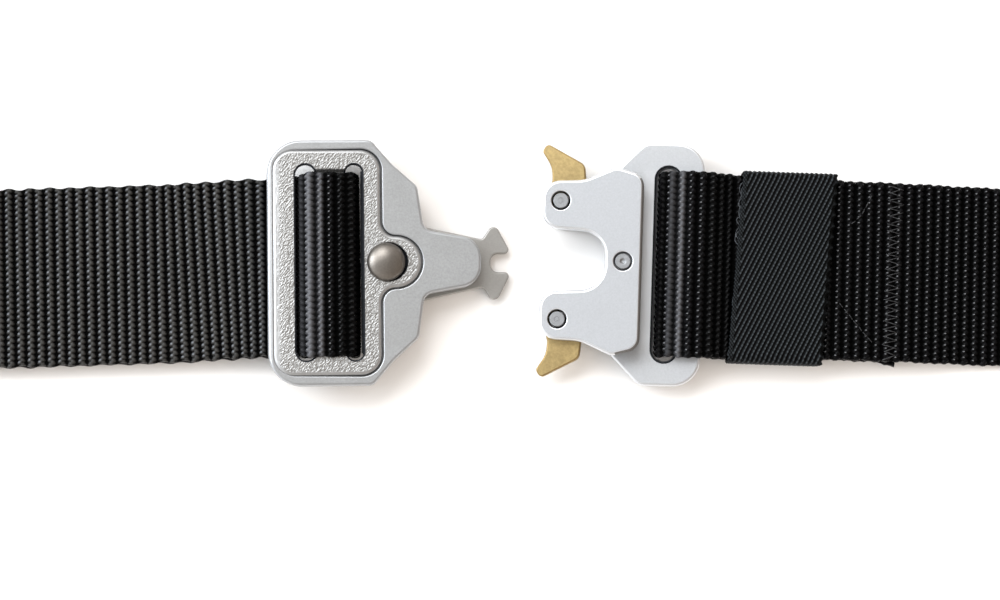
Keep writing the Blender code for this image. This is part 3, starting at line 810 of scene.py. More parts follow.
def bright_strip(mat):
    """Paints light onto the base plate between the cover and the strap's slot, where the cover's shade falls."""
    nt = mat.node_tree
    bsdf = next(n for n in nt.nodes if n.type == "BSDF_PRINCIPLED")
    old = bsdf.inputs["Base Color"].links[0].from_socket
    x, y, z, lean, turn = HALVES["female"]
    a, b = math.radians(turn), math.radians(lean)
    c = np.array([x, y, z]) - BOX_MIDDLE
    ex = np.array([math.cos(a) * math.cos(b), math.sin(a) * math.cos(b), -math.sin(b)])
    ey = np.array([-math.sin(a), math.cos(a), 0.0])
    tc = add(nt, "ShaderNodeTexCoord")
    masks = []
    for axis, rows in ((ex, (3.6, 4.8)), (ey, (-20.6, -15.5)), (-ey, (-20.6, -15.5))):
        dot = add(nt, "ShaderNodeVectorMath", operation="DOT_PRODUCT")
        nt.links.new(tc.outputs["Object"], dot.inputs[0])
        dot.inputs[1].default_value = tuple(axis)
        at = float(c @ axis)
        span = add(nt, "ShaderNodeMapRange", clamp=True)
        span.inputs["From Min"].default_value = (at + rows[0]) * MM
        span.inputs["From Max"].default_value = (at + rows[1]) * MM
        nt.links.new(dot.outputs["Value"], span.inputs["Value"])
        masks.append(span.outputs["Result"])
    fac = masks[0]
    for other in masks[1:]:
        both = add(nt, "ShaderNodeMath", operation="MULTIPLY")
        nt.links.new(fac, both.inputs[0])
        nt.links.new(other, both.inputs[1])
        fac = both.outputs["Value"]
    mix = add(nt, "ShaderNodeMix", data_type="RGBA")
    nt.links.new(fac, mix.inputs[0])
    nt.links.new(old, mix.inputs[6])
    mix.inputs[7].default_value = (0.64, 0.657, 0.68, 1.0)
    nt.links.new(mix.outputs[2], bsdf.inputs["Base Color"])


bright_strip(M_SILVER_BASE)


# ==================================================================== webbing
def knots(s, v):
    """Relief of the weave, 0 in a groove to 1 on a knot, and where a
    highlight is painted on the yarn; s, v in mm."""
    best = np.zeros(np.broadcast(s, v).shape)
    crown = best.copy()
    i = np.round(s / RIB)
    dx = s - i * RIB
    for side in (-1, 1):
        half = 0.5 * np.mod(i, 2) + 0.25 * side
        j = np.round(v / KNOT - half)
        for dj in (-1, 0, 1):
            dy = v - (j + dj + half) * KNOT
            lean = dx - side * 0.26 + 0.42 * side * dy
            q = 1 - (lean / 0.56)**2 - (dy / 0.68)**2
            best = np.maximum(best, np.sqrt(np.maximum(q, 0)))
            # painted highlight at the left of each knot's crown
            if side < 0:
                crown = np.maximum(crown, np.exp(-((dx + 0.38) / 0.30)**2 - ((dy - 0.05) / 0.30)**2))
    return best, crown


def spread(s):
    """How far the strap's edges widen where it is pinched over the metal."""
    c = line_at(s)[0]
    front = c[:, 1] < 40.0
    slot = np.exp(-((c[:, 0] + 36.0) / 8.5)**8) * (c[:, 2] > 2.2) * front
    rail = np.exp(-((c[:, 0] - 40.0) / 11.0)**4) * (c[:, 2] > 2.0) * front
    wide = 0.50 * slot + 0.7 * rail
    k = np.hanning(9)
    pad = np.pad(wide, 4, mode="edge")
    return np.convolve(pad, k / k.sum(), mode="valid")


def fold_light_at(s):
    """2 where a highlight is painted on the ribs folding over the metal, 1 on
    the rest of the strap, near 0 where painted shade darkens the stretches beyond the folds."""
    x, y, z = line_at(s)[0].T
    front = (y < 40.0) & (z > 2.0)
    # painted highlight over the folds, painted shade on the stretches sloping down beyond them
    fold_glint = np.exp(-((x + 38.9) / 2.1)**4) + 0.78 * np.exp(-((x - 37.4) / 1.6)**4)
    slope_shade = np.exp(-((x + 30.6) / 3.7)**6) + np.exp(-((x - 47.6) / 5.2)**6)
    ridge = s - np.round(s / RIB) * RIB
    fold_glint = fold_glint * (0.22 + 0.78 * np.exp(-(ridge / 0.42)**2))
    return 1 + front * (fold_glint - 0.9 * slope_shade)


def matched(values, stops, wanted):
    """Scales values so that their mean tone through a ramp is the wanted one."""
    low, high = 0.1, 2.0
    for _ in range(30):
        k = (low + high) / 2
        if np.interp(values * k, *stops).mean() > wanted:
            high = k
        else:
            low = k
    return values * k


# ramp stops of the painted groove shade and of the painted crown highlight
HOLLOW = ([0.25, 0.55, 0.90], [0.02, 0.40, 1.0])
HIGHLIGHT_RAMP = ([0.25, 0.95], [0.0, 1.0])
_s, _v = np.meshgrid(np.linspace(0, 2 * RIB, 49), np.linspace(0, 4 * KNOT, 49), indexing="ij")
_h, _c = knots(_s, _v)
TONE = float(np.interp(_h, *HOLLOW).mean()), float(np.interp(_c, *HIGHLIGHT_RAMP).mean())
EASE = length_at(EXIT_X["right"] - 2), length_at(EXIT_X["left"] + 2, side="left")


def strap_piece(name, s0, s1, along, over, under):
    """A stretch of the strap, along rows a rib, over/under knots' samples."""
    a0 = 0.0 if s0 <= 0 else (math.floor(s0 / RIB) + 0.5) * RIB
    a1 = LENGTH if s1 >= LENGTH else (math.floor(s1 / RIB) + 0.5) * RIB
    rows = max(2, int(round((a1 - a0) / RIB * along)) + 1)
    s = np.linspace(a0, a1, rows)
    flat = WEB_W / 2 - 1.0
    rim = np.array([0.34, 0.64, 0.86])
    n_knots = int(round(2 * flat / KNOT))

    def across(per):
        core = np.linspace(-flat, flat, n_knots * per + 1)
        return np.concatenate([-(flat + rim[::-1]), core, flat + rim])
    top, bot = across(over), across(under)[::-1]
    # ring: left edge, over the top to the right edge, back below
    ring_v = np.concatenate([[-WEB_W / 2], top, [WEB_W / 2], bot])
    is_top = np.concatenate([[0.0], np.ones(len(top)), [0.0], -np.ones(len(bot))])
    S, V = np.meshgrid(s, ring_v, indexing="ij")
    K = np.broadcast_to(is_top, S.shape)
    c, w, n = line_at(s)
    # the edge steps in and out with each pair of ribs
    pair = 2.0 if s0 > LENGTH / 2 else 1.0
    cycle = (0.5 + 0.5 * np.cos(2 * np.pi * s / (pair * RIB)))**1.3
    scallop = (0.12 + 0.12 * pair) * (1 - cycle) + 0.06 * np.sin(s * 0.61) + 0.05 * np.sin(s * 1.37)
    wave = scallop[:, None] * np.clip((np.abs(V) - flat + 1.0) / 2.0, 0, 1)
    wide = spread(s)[:, None] * np.abs(V) / (WEB_W / 2)
    reach = V - np.sign(V) * (wave - wide)
    reach = reach + 0.30 * np.minimum(spread(s), 0.5)[:, None] * (c[:, :1] < 0)
    # the end of the return is heat-cut and flares a little
    flare = np.clip((4.0 - s) / 3.0, 0, 1)[:, None]
    reach = reach - 0.9 * flare * np.clip(-V / (WEB_W / 2) - 0.8, 0, 0.2) / 0.2
    h, crown = knots(S, np.where(K < 0, V + KNOT / 2, V))
    out = np.clip((np.abs(V) - flat) / 1.0, 0, 1)
    if along > 5:
        reach = reach + np.sign(V) * 0.24 * (h - 0.6) * out * np.where(K == 0, 0, 1)
    env = np.sqrt(np.clip(1 - out**2, 0, 1))
    relief = RELIEF * (1 - 0.35 * out)
    height = K * (WEB_T / 2 * env + 0.06 - relief * (1 - h) * np.where(env > 0, 1, 0) * env**0.5)
    # relief drives the painted shade in the grooves, crown the painted highlight on each knot
    cavity = np.where(K == 0, 0.5, h)
    crown = np.where(K == 0, 0.0, crown * (1 - out))
    if along < 6:
        ease = (0.92 - 0.05 * np.exp(-np.maximum(0, s - EASE[0]) / 25.0)
                + 0.07 * np.exp(-np.maximum(0, EASE[1] - s) / 25.0))
        cavity = matched(cavity, HOLLOW, TONE[0]) * ease[:, None]
        crown = matched(crown, HIGHLIGHT_RAMP, TONE[1]) * ease[:, None]
    wear = np.broadcast_to(fold_light_at(s)[:, None], S.shape)
    edge_h = np.where(K == 0, 0.0, height)
    P = (c[:, None, :] + w[:, None, :] * reach[..., None] + n[:, None, :] * edge_h[..., None])
    verts = belt_place(P.reshape(-1, 3))
    m = len(ring_v)
    r = np.arange(rows - 1)[:, None]
    q = np.arange(m)[None, :]
    a = r * m + q
    b = r * m + (q + 1) % m
    quads = np.stack([a, a + m, b + m, b], -1).reshape(-1, 4)
    per = np.concatenate([[0], np.cumsum(np.abs(np.diff(np.concatenate([ring_v, ring_v[:1]]))) + 1e-3)])
    per /= per[-1]
    u = (s - s[0]) / (s[-1] - s[0])
    bu = np.stack([np.broadcast_to(u[:-1, None], (rows - 1, m)), np.broadcast_to(u[1:, None], (rows - 1, m)),
                   np.broadcast_to(u[1:, None], (rows - 1, m)), np.broadcast_to(u[:-1, None], (rows - 1, m))], -1)
    pv0 = np.broadcast_to(per[:-1][None, :], (rows - 1, m))
    pv1 = np.broadcast_to(per[1:][None, :], (rows - 1, m))
    bv = np.stack([pv0, pv0, pv1, pv1], -1)
    bake = np.stack([0.01 + 0.97 * bu, 0.01 + 0.97 * bv], -1)
    su = np.stack([np.broadcast_to((s[:-1] / LENGTH)[:, None], (rows - 1, m)),
                   np.broadcast_to((s[1:] / LENGTH)[:, None], (rows - 1, m)),
                   np.broadcast_to((s[1:] / LENGTH)[:, None], (rows - 1, m)),
                   np.broadcast_to((s[:-1] / LENGTH)[:, None], (rows - 1, m))], -1)
    vv = np.concatenate([ring_v, ring_v[:1]]) / WEB_W
    va = np.broadcast_to(vv[:-1][None, :], (rows - 1, m))
    vb = np.broadcast_to(vv[1:][None, :], (rows - 1, m))
    weave = np.stack([su, np.stack([va, va, vb, vb], -1) + 0.5], -1)
    caps = []
    for base, flip in ((0, False), ((rows - 1) * m, True)):
        t0, t1 = 0, len(top) + 1
        lo, hi = list(range(t0, t1 + 1)), [0] + list(range(m - 1, t1 - 1, -1))
        # a ladder between the upper and the lower chain
        i = j = 0
        while i < len(lo) - 1 or j < len(hi) - 1:
            if j >= len(hi) - 1 or (i < len(lo) - 1 and ring_v[lo[i + 1]] <= ring_v[hi[j + 1]]):
                tri = (lo[i], lo[i + 1], hi[j])
                i += 1
            else:
                tri = (lo[i], hi[j + 1], hi[j])
                j += 1
            if len(set(tri)) < 3:
                continue
            tri = tuple(base + k for k in tri)
            caps.append(tri if flip else tri[::-1])
    obj = quad_mesh(name, verts, quads, {"OFBake": bake.reshape(-1, 4, 2),
                                         "weave": weave.reshape(-1, 4, 2)}, [M_WEB], caps,
                    {"relief": cavity, "crown": crown, "wear": wear})
    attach(obj, "belt")
    return obj


def build_strap():
    turn_right = float(LINE_S[np.argmin(np.where(LINE_S < 200, LINE_C[:, 0], 1e9))])
    right_out = length_at(EXIT_X["right"] - 2)
    left_in = length_at(EXIT_X["left"] + 2, side="left")
    wrap_end = LENGTH - (abs(TAIL_END_X) - 33.0)
    pieces = [strap_piece("webbing_return", 0.0, turn_right - 6.0, 3, 2, 2)]
    pieces.append(strap_piece("webbing_right", turn_right - 6.0, right_out, 8, 5, 1))
    marks = np.linspace(right_out, left_in, 5)
    for k in range(4):
        pieces.append(strap_piece(f"webbing_loop_{k + 1}", marks[k], marks[k + 1], 4, 2, 1))
    under_plate = length_at(-52.0, side="left")
    pieces.append(strap_piece("webbing_left", left_in, under_plate, 8, 6, 1))
    pieces.append(strap_piece("webbing_bar", under_plate, wrap_end, 8, 6, 1))
    pieces.append(strap_piece("webbing_tail", wrap_end, LENGTH, 3, 2, 2))
    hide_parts("webbing_strap")
    return pieces


# ===================================================================== keeper
def build_keeper():
    x, wall = KEEPER["x"], KEEPER["wall"]
    y, k = front_line(x)
    w, h = WEB_W + 2 * GAP + wall, 2 * WEB_T + 3 * GAP + wall     # middle of the wall
    r = 1.35
    path = rounded([(w / 2, h / 2, r), (-w / 2, h / 2, r), (-w / 2, -h / 2, r), (w / 2, -h / 2, r)], 9.0)
    path = ccw(path)
    closed = np.concatenate([path, path[:1]])
    run = np.concatenate([[0], np.cumsum(np.linalg.norm(np.diff(closed, axis=0), axis=1))])
    total = run[-1]
    n = int(round(total / 0.20))
    p = np.arange(n) * total / n
    pos = np.stack([np.interp(p, run, closed[:, 0]), np.interp(p, run, closed[:, 1])], 1)
    tan = np.roll(pos, -1, 0) - np.roll(pos, 1, 0)
    tan /= np.linalg.norm(tan, axis=1)[:, None]
    nor = np.stack([tan[:, 1], -tan[:, 0]], 1)                     # outward on a ccw path
    half = KEEPER["length"] / 2
    fine = np.linspace(-half + 0.12, half - 0.12, 108)
    a_out = np.concatenate([[-half], fine, [half]])
    a_in = np.linspace(half - 0.3, -half + 0.3, 9)
    A = np.concatenate([a_out, a_in])
    side = np.concatenate([np.ones(len(a_out)), -np.ones(len(a_in))])
    AA, PP = np.meshgrid(A, p, indexing="xy")                      # rows p, columns a
    up = nor[:, 1][:, None]
    # twill: ridges lean 60 degrees on the top face and run round the folds
    yy = -np.cumsum(np.concatenate([[0], np.diff(p)]))[:, None] + total * 0.25
    pitch = total / round(total / 2.36)                           # whole ridges round the band
    phase = AA / 1.0 + PP / pitch
    ridge = np.abs(np.sin(np.pi * phase))
    thread = np.abs(np.sin(np.pi * (PP / 0.80 - AA * 0.55)))**0.6
    relief = ridge * (0.325 + 0.095 * thread)
    # knitted edge on the left, rope edge on the right
    left = np.clip((AA + half - 0.85) / 0.25, 0, 1)
    knit = 0.30 + 0.12 * np.cos(2 * np.pi * PP / 0.80) * np.cos(2 * np.pi * (AA + half) / 0.62)
    relief = relief * left + knit * (1 - left)
    tail = np.clip((AA - half + 0.9) / 0.5, 0, 1)
    rope = 0.16 + 0.14 * np.cos(2 * np.pi * PP / 2.3)
    relief = relief * (1 - tail) + rope * tail
    edge = np.clip((half - np.abs(AA)) / 0.35, 0, 1)
    outer = wall / 2 + 0.04 - 0.42 + relief - 0.28 * (1 - np.sqrt(edge))
    off = np.where(side > 0, outer, -wall / 2 + 0.06)
    waver = 0.16 * np.cos(2 * np.pi * PP / 2.3) * np.clip((AA - half + 1.4) / 1.4, 0, 1)
    Y = pos[:, 0][:, None] + nor[:, 0][:, None] * off
    Z = pos[:, 1][:, None] + nor[:, 1][:, None] * off
    # the band is set a little askew, and its rope edge wavers
    X = AA + waver + KEEPER["skew"] * Y
    ang = math.atan(k)
    wx = x + X * math.cos(ang) - Y * math.sin(ang)
    wy = y + X * math.sin(ang) + Y * math.cos(ang)
    wz = Z + h / 2 + wall / 2
    verts = belt_place(np.stack([wx, wy, wz], -1).reshape(-1, 3))
    m = len(A)
    r_ = np.arange(n)[:, None]
    q = np.arange(m)[None, :]
    a = r_ * m + q
    b = ((r_ + 1) % n) * m + q
    c = ((r_ + 1) % n) * m + (q + 1) % m
    d = r_ * m + (q + 1) % m
    quads = np.stack([a, d, c, b], -1).reshape(-1, 4)
    pu = np.stack([np.broadcast_to((np.arange(n) / n)[:, None], (n, m))] * 2
                  + [np.broadcast_to(((np.arange(n) + 1) / n)[:, None], (n, m))] * 2, -1)
    cum = np.concatenate([[0], np.cumsum(np.abs(np.diff(np.concatenate([A, A[:1]]))) + 0.02)])
    cum /= cum[-1]
    v0 = np.broadcast_to(cum[:-1][None, :], (n, m))
    v1 = np.broadcast_to(cum[1:][None, :], (n, m))
    bake = np.stack([0.01 + 0.98 * pu, 0.01 + 0.98 * np.stack([v0, v1, v1, v0], -1)], -1)
    a0 = np.broadcast_to(np.concatenate([A, A[:1]])[:-1][None, :], (n, m))
    a1 = np.broadcast_to(np.concatenate([A, A[:1]])[1:][None, :], (n, m))
    weave = np.stack([np.stack([a0, a1, a1, a0], -1), pu * total], -1)
    # the relief drives the painted shade in the twill's grooves
    cavity = np.where(side > 0, np.clip(relief / 0.40, 0, 1), 0.6)
    obj = quad_mesh("keeper_band", verts, quads, {"OFBake": bake.reshape(-1, 4, 2),
                                                  "weave": weave.reshape(-1, 4, 2)}, [M_ELASTIC],
                    relief={"relief": cavity})
    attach(obj, "belt")
    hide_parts("elastic_keeper")
    return obj


def build_frays():
    """Loose threads along the keeper's edge next to the buckle."""
    x, wall = KEEPER["x"], KEEPER["wall"]
    y, k = front_line(x)
    ang = math.atan(k)
    top = 2 * WEB_T + 3 * GAP + 2 * wall
    r = np.random.default_rng(5)
    verts, faces = [], []
    sides, rows, rad = 5, 9, 0.075
    spots = [17.9, 17.0, 16.2, 15.1, 14.2, 13.0, 12.1, 10.6, 8.2, 7.4, 3.0, -1.5, -6.0, -9.5, -14.0, -17.2]
    for at in spots:
        run = r.uniform(1.3, 3.4)
        out = r.uniform(0.22, 0.85) if at > 6 else r.uniform(0.10, 0.35)
        sway = r.uniform(-0.25, 0.25)
        path = []
        for i in range(rows):
            t = i / (rows - 1)
            a = -KEEPER["length"] / 2 + 0.25 - out * math.sin(math.pi * t)**0.8 + sway * t * (1 - t)
            b = at - run * t + 0.15 * math.sin(7 * t + at)
            a += KEEPER["skew"] * b
            path.append((x + a * math.cos(ang) - b * math.sin(ang),
                         y + a * math.sin(ang) + b * math.cos(ang),
                         top - 0.42 - 0.35 * math.sin(math.pi * t)))
        path = np.array(path)
        way = np.gradient(path, axis=0)
        way /= np.linalg.norm(way, axis=1)[:, None]
        base = len(verts)
        for i in range(rows):
            side = np.cross(way[i], (0.0, 0.0, 1.0))
            side /= np.linalg.norm(side)
            up = np.cross(side, way[i])
            for j in range(sides):
                q = 2 * math.pi * j / sides
                verts.append(path[i] + rad * (side * math.cos(q) + up * math.sin(q)))
        for i in range(rows - 1):
            for j in range(sides):
                n = (j + 1) % sides
                faces.append((base + i * sides + j, base + i * sides + n,
                              base + (i + 1) * sides + n, base + (i + 1) * sides + j))
        faces.append(tuple(base + j for j in range(sides))[::-1])
        faces.append(tuple(base + (rows - 1) * sides + j for j in range(sides)))
    me = bpy.data.meshes.new("keeper_frays")
    me.from_pydata([tuple(v) for v in belt_place(np.array(verts))], [], faces)
    me.validate()
    me.update()
    me.polygons.foreach_set("use_smooth", np.ones(len(me.polygons), bool))
    obj = bpy.data.objects.new("keeper_frays", me)
    bpy.context.scene.collection.objects.link(obj)
    me.materials.append(M_FRAY)
    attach(obj, "belt")
    return obj


# ====================================================================== metals
def jitter_grid(rings, step, margin, seed):
    r = np.random.default_rng(seed)
    allp = np.concatenate(rings)
    lo, hi = allp.min(0), allp.max(0)
    gx = np.arange(lo[0], hi[0], step)
    gy = np.arange(lo[1], hi[1], step * 0.866)
    pts = np.array([(x + (step / 2 if j % 2 else 0), y) for j, y in enumerate(gy) for x in gx])
    pts = pts + r.uniform(-0.12, 0.12, pts.shape) * step
    pts = pts[inside(pts, rings)]
    # leave a margin to every edge
    keep = np.ones(len(pts), bool)
    for ring in rings:
        a, b = ring, np.roll(ring, -1, 0)
        for p, q in zip(a, b):
            d = q - p
            L = max(float(d @ d), 1e-12)
            t = np.clip(((pts - p) @ d) / L, 0, 1)
            near = np.linalg.norm(pts - (p + t[:, None] * d), axis=1)
            keep &= near > margin
    return pts[keep]


def finish_piece(obj, body, slot, *nodes):
    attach(obj, body)
    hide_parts(*nodes)
    return obj


def build_male():
    place = to_belt("male")
    outer = tidy(ccw(rounded(mirrored(MALE_OUTLINE))))
    outline = tidy(ccw(insert_outline()))
    shut = np.clip((-17.0 - outline[:, 0]) / 5.0, 0, 1)
    shut = shut * shut * (3 - 2 * shut)
    pocket = tidy(cw(into(outline, -0.22 + 0.37 * shut)))
    window = tidy(cw(rounded(mirrored(WINDOW))))
    z0, z1 = MALE_PLATE
    s = Solid()
    # the rounded top edge takes the paler edge metal, a painted highlight
    o0, o1 = s.wall(outer, edge_rows(z0, z1, 0.45, 0.55), mat=0, edge=1)
    pocket = pocket + np.array([0.11, 0.0])
    first = len(s.f)
    # painted shade on the wall of the gap round the insert
    p0, p1 = s.wall(pocket, edge_rows(POCKET_FLOOR, z1, 0, 0.30), mat=2, edge=1)
    # the gap is narrow on the side away from the tongue; there its wall takes the paler edge metal, a painted
    # highlight, in place of the painted shade
    for i in range(first, len(s.f)):
        if sum(s.v[k][0] for k in s.f[i]) / 4 < -19.0:
            s.m[i] = 1
    # painted shade on the window's walls
    w0, w1 = s.wall(window, edge_rows(z0, POCKET_FLOOR, 0.3, 0.2), mat=2)
    s.cap([o1, p1], True)
    s.cap([p0, w1], True)
    s.cap([o0, w0], False)
    # the rim slopes off to the left
    for i, (x, y, z) in enumerate(s.v):
        slope = min(1.0, max(0.0, (-24.40 - x) / 0.95)) * max(0.0, (z - z0) / (z1 - z0))
        s.v[i] = (x, y, z - 0.30 * slope)
    obj = s.mesh("male_plate", place, [M_PLATE, M_EDGE, M_PAINTED_SHADE])
    finish_piece(obj, "belt", "alloy_grey", "male_base_plate")

    # insert frame with its pebbled face
    outer = tidy(ccw(insert_outline()))
    left = tidy(cw(stadium(SLOTS["male_left"])))
    right = tidy(cw(stadium(SLOTS["male_right"])))
    hole = cw(circle(-0.02, 0, 4.02))
    z0, z1 = INSERT
    s = Solid()
    o0, o1 = s.wall(outer, edge_rows(z0, z1, 0.2, 0.75, 7), mat=1)
    # painted shade on the walls and rounded edges of the slots
    l0, l1 = s.wall(left, edge_rows(z0, z1, 0.2, 0.36), mat=2)
    rows = edge_rows(z0, z1, 0.2, 0.36)
    below = len(s.v)
    r0, r1 = s.wall(right, rows[:6] + [(0.0, z1 - 0.95), (0.0, z1 - 0.90)] + rows[6:], mat=2)
    # below its lip the slot's far side reaches in towards the strap
    for i in range(below, len(s.v)):
        x, y, z = s.v[i]
        if x > SLOTS["male_right"][1] - 0.30 and abs(y) < 19.2 and z < z1 - 0.92:
            s.v[i] = (x - 0.40, y, z)
    # the rivet's seat: a ledge deep in the hole, it and the low wall painted dark as shade
    ledge = [(-1.0, z0), (-1.0, z0 + 0.30), (-0.9, z0 + 0.32), (0.0, z0 + 0.32)]
    h0, h1 = s.wall(hole, ledge + edge_rows(z0 + 0.32, z1, 0, 0.30)[1:], smooth=False, mat=2, edge=0)
    rings = [np.array([s.v[i][:2] for i in ring]) for ring in (o1, l1, r1, h1)]
    extra = jitter_grid(rings, 0.27, 0.14, 3)
    first = len(s.v)
    face = len(s.f)
    s.cap([o1, l1, r1, h1], True, smooth=True, extra=extra)
    # the left faces take the smooth, paler edge metal: an unpebbled edge with a painted highlight
    for i in range(face, len(s.f)):
        if sum(s.v[k][0] for k in s.f[i]) / 3 < -22.75:
            s.m[i] = 1
    s.cap([o0, l0, r0, h0], False)
    for i in range(first, len(s.v)):
        x, y, z = s.v[i]
        a = noise.noise(Vector((x * 1.9 + 0.5 * y, y * 1.7 - 0.3 * x, 1.3)))
        b = noise.noise(Vector((x * 3.3, y * 3.0, 7.1)))
        s.v[i] = (x, y, z - 0.03 + 0.055 * a + 0.035 * b)
    # the bar between the slots lies lower than the frame round them
    b0_, b1_ = SLOTS["male_left"][1], SLOTS["male_right"][0]
    for i, (x, y, z) in enumerate(s.v):
        inx = min(1.0, max(0.0, (x - b0_ + 0.45) / 0.4)) * min(1.0, max(0.0, (b1_ + 0.45 - x) / 0.4))
        iny = min(1.0, max(0.0, (19.5 - abs(y)) / 0.5))
        up = max(0.0, (z - z0) / (z1 - z0))
        # and its left side is rounded off to the rim of the plate
        side = min(1.0, max(0.0, (-21.5 - x) / 2.8))**2
        s.v[i] = (x, y, z - ((z1 - BAR[1]) * inx * iny + 0.42 * side) * up)
    obj = s.mesh("male_insert", place, [M_PEBBLE, M_SMOOTH, M_PAINTED_SHADE])
    finish_piece(obj, "belt", "alloy_pebbled", "male_insert_frame")

    # dome rivet and anchor plate
    finish_piece(turned_piece("dome_rivet", dome_profile(), (-0.58, 0), place, M_DOME, 96),
                 "belt", "rivet_steel", "male_dome_rivet")
    outer = tidy(ccw(rounded(mirrored(ANCHOR_OUTLINE))))
    bore = cw(circle(0, 0, 1.9))
    s = Solid()
    o0, o1 = s.wall(outer, edge_rows(0, ANCHOR_TOP, 0.25, 0.35))
    b0, b1 = s.wall(bore, edge_rows(0, ANCHOR_TOP, 0.1, 0.1))
    s.cap([o1, b1], True)
    s.cap([o0, b0], False)
    finish_piece(s.mesh("anchor_plate", place, [M_ANCHOR]), "belt", "anchor_steel",
                 "male_anchor_plate")


def dome_profile():
    seat = POCKET_FLOOR + GAP
    r = 4.02
    rise = DOME_TOP - seat - 1.5
    rows = [(r * math.sin(a), seat + 1.5 + rise * math.cos(a))
            for a in np.linspace(0, math.pi / 2, 26)]
    rows[0] = (0.0, DOME_TOP)
    return rows + [(r, seat + 1.42), (3.6, seat + 1.35), (3.6, seat), (1.5, seat),
                   (1.5, 0.15), (0.0, 0.15)]


def turned_piece(name, profile, at, place, mat, sides=64):
    """Turned solid from (radius, height) rows, from the top down."""
    v, f, sm = [], [], []
    rings = []
    for r, z in profile:
        if r < 1e-6:
            rings.append([len(v)])
            v.append((at[0], at[1], z))
        else:
            rings.append(list(range(len(v), len(v) + sides)))
            for k in range(sides):
                a = 2 * math.pi * k / sides
                v.append((at[0] + r * math.cos(a), at[1] + r * math.sin(a), z))
    for (ra, a), (rb, b) in zip(zip(profile, rings), list(zip(profile, rings))[1:]):
        for k in range(sides):
            j = (k + 1) % sides
            if len(a) == 1:
                f.append((a[0], b[k], b[j]))
            elif len(b) == 1:
                f.append((a[k], b[0], a[j]))
            else:
                f.append((a[k], b[k], b[j], a[j]))
    me = bpy.data.meshes.new(name)
    me.from_pydata([tuple(p) for p in place(np.array(v, float))], [], f)
    me.validate()
    me.update()
    me.polygons.foreach_set("use_smooth", np.ones(len(me.polygons), bool))
    me.set_sharp_from_angle(angle=math.radians(26))
    obj = bpy.data.objects.new(name, me)
    bpy.context.scene.collection.objects.link(obj)
    me.materials.append(mat)
    return obj


def build_female():
    place = to_belt("female")
    ax, ay = ARM_RIVET
    spots = [(ax, ay), (ax, -ay), MID_RIVET]

    def plate(name, table, z0, z1, extra_holes, slot, node, low, high, face, shaded_edges=False):
        s = Solid()
        # walls and rounded edges take the pale edge metal, a painted highlight
        o0, o1 = s.wall(tidy(ccw(rounded(mirrored(table)))), edge_rows(z0, z1, low, high), mat=1)
        for i, quad in enumerate(s.f if shaded_edges else []):
            # painted shade on the edge that faces the strap
            (xa, ya, _), (xb, yb, _) = s.v[quad[0]], s.v[quad[1]]
            faces = (0.8 * (yb - ya) + 0.6 * (xb - xa)) / max(1e-9, math.hypot(xb - xa, yb - ya))
            top = max(s.v[k][2] for k in quad)
            if faces > 0.35 and top < z1 - 0.02 and xa > -0.5:
                s.m[i] = 3
        lows, highs = [o0], [o1]
        for loop, edge, ledge in extra_holes:
            rows = edge_rows(z0, z1, 0.15, edge)
            if ledge:
                # a step below the lip of the strap's slot: the lip carries painted shade, the step the pale edge
                # metal as a painted highlight
                rows = [(0.15 - ledge, z0), (-ledge, z0 + 0.15), (-ledge, z1 - edge - 0.17),
                        (-0.02, z1 - edge - 0.06)] + edge_rows(z0, z1, 0, edge)[1:]
            a, b = s.wall(loop, rows, mat=1, edge=2 if ledge else None)
            lows.append(a)
            highs.append(b)
        s.cap(highs, True)
        s.cap(lows, False)
        obj = s.mesh(name, place, [face, M_SILVER_EDGE, M_PAINTED_SHADE, M_SHADE])
        return finish_piece(obj, "belt", slot, node)

    holes = [(cw(circle(x, y, HOLE_R)), 0.22, 0) for x, y in spots]
    plate("latch_base", FEMALE_OUTLINE, *FEMALE_PLATE,
          holes + [(tidy(cw(stadium(SLOTS["female"]))), 0.36, 0.22)], "alloy_silver",
          "female_base_plate", 0.3, 0.5, M_SILVER_BASE)
    plate("latch_cover", COVER_OUTLINE, *COVER, holes, "alloy_silver",
          "female_cover_plate", 0.2, 0.60, M_SILVER, True)

    top = COVER[1] - 0.12
    plain = [(0.0, top), (0.36, top), (0.40, top), (0.46, top - 0.06), (0.60, top - 0.06),
             (0.66, top), (0.72, top), (RIVET_R - 0.20, top), (RIVET_R - 0.14, top),
             (RIVET_R - 0.02, top - 0.09), (RIVET_R, top - 0.2),
             (RIVET_R, 0.15), (0.0, 0.15)]
    dimple = [(0.0, top - 0.30), (0.30, top - 0.26), (0.52, top - 0.10), (0.62, top - 0.02),
              (0.70, top), (0.78, top), (RIVET_R - 0.20, top), (RIVET_R - 0.14, top),
              (RIVET_R - 0.02, top - 0.09), (RIVET_R, top - 0.2), (RIVET_R, LEVER[1]),
              (2.6, LEVER[1]), (2.6, LEVER[0]), (RIVET_R, LEVER[0]), (RIVET_R, 0.15), (0.0, 0.15)]
    for name, prof, at, node in (("pin_upper", plain, (ax, ay), "rivet_upper"),
                                 ("pin_lower", plain, (ax, -ay), "rivet_lower"),
                                 ("pin_middle", dimple, MID_RIVET, "rivet_middle")):
        finish_piece(turned_piece(name, prof, at, place, M_RIVET), "belt", "rivet_grey", node)

    for name, node, body, sign in (("brass_lever_upper", "lever_upper", "upper_latch", 1),
                                   ("brass_lever_lower", "lever_lower", "lower_latch", -1)):
        s = Solid()
        table = [(x, sign * y, r) for x, y, r in LEVER_OUTLINE]
        # the rounded edges take the darker brass, painted shade
        o0, o1 = s.wall(tidy(ccw(rounded(table))), edge_rows(*LEVER, 0.2, 0.32), mat=1)
        b0, b1 = s.wall(cw(circle(0, 0, RIVET_R + 0.35)), edge_rows(*LEVER, 0.1, 0.1))
        s.cap([o1, b1], True)
        s.cap([o0, b0], False)
        obj = s.mesh(name, place, [M_BRASS, M_BRASS_EDGE], offset=(ax, sign * ay, 0))
        finish_piece(obj, body, "lever_brass", node)


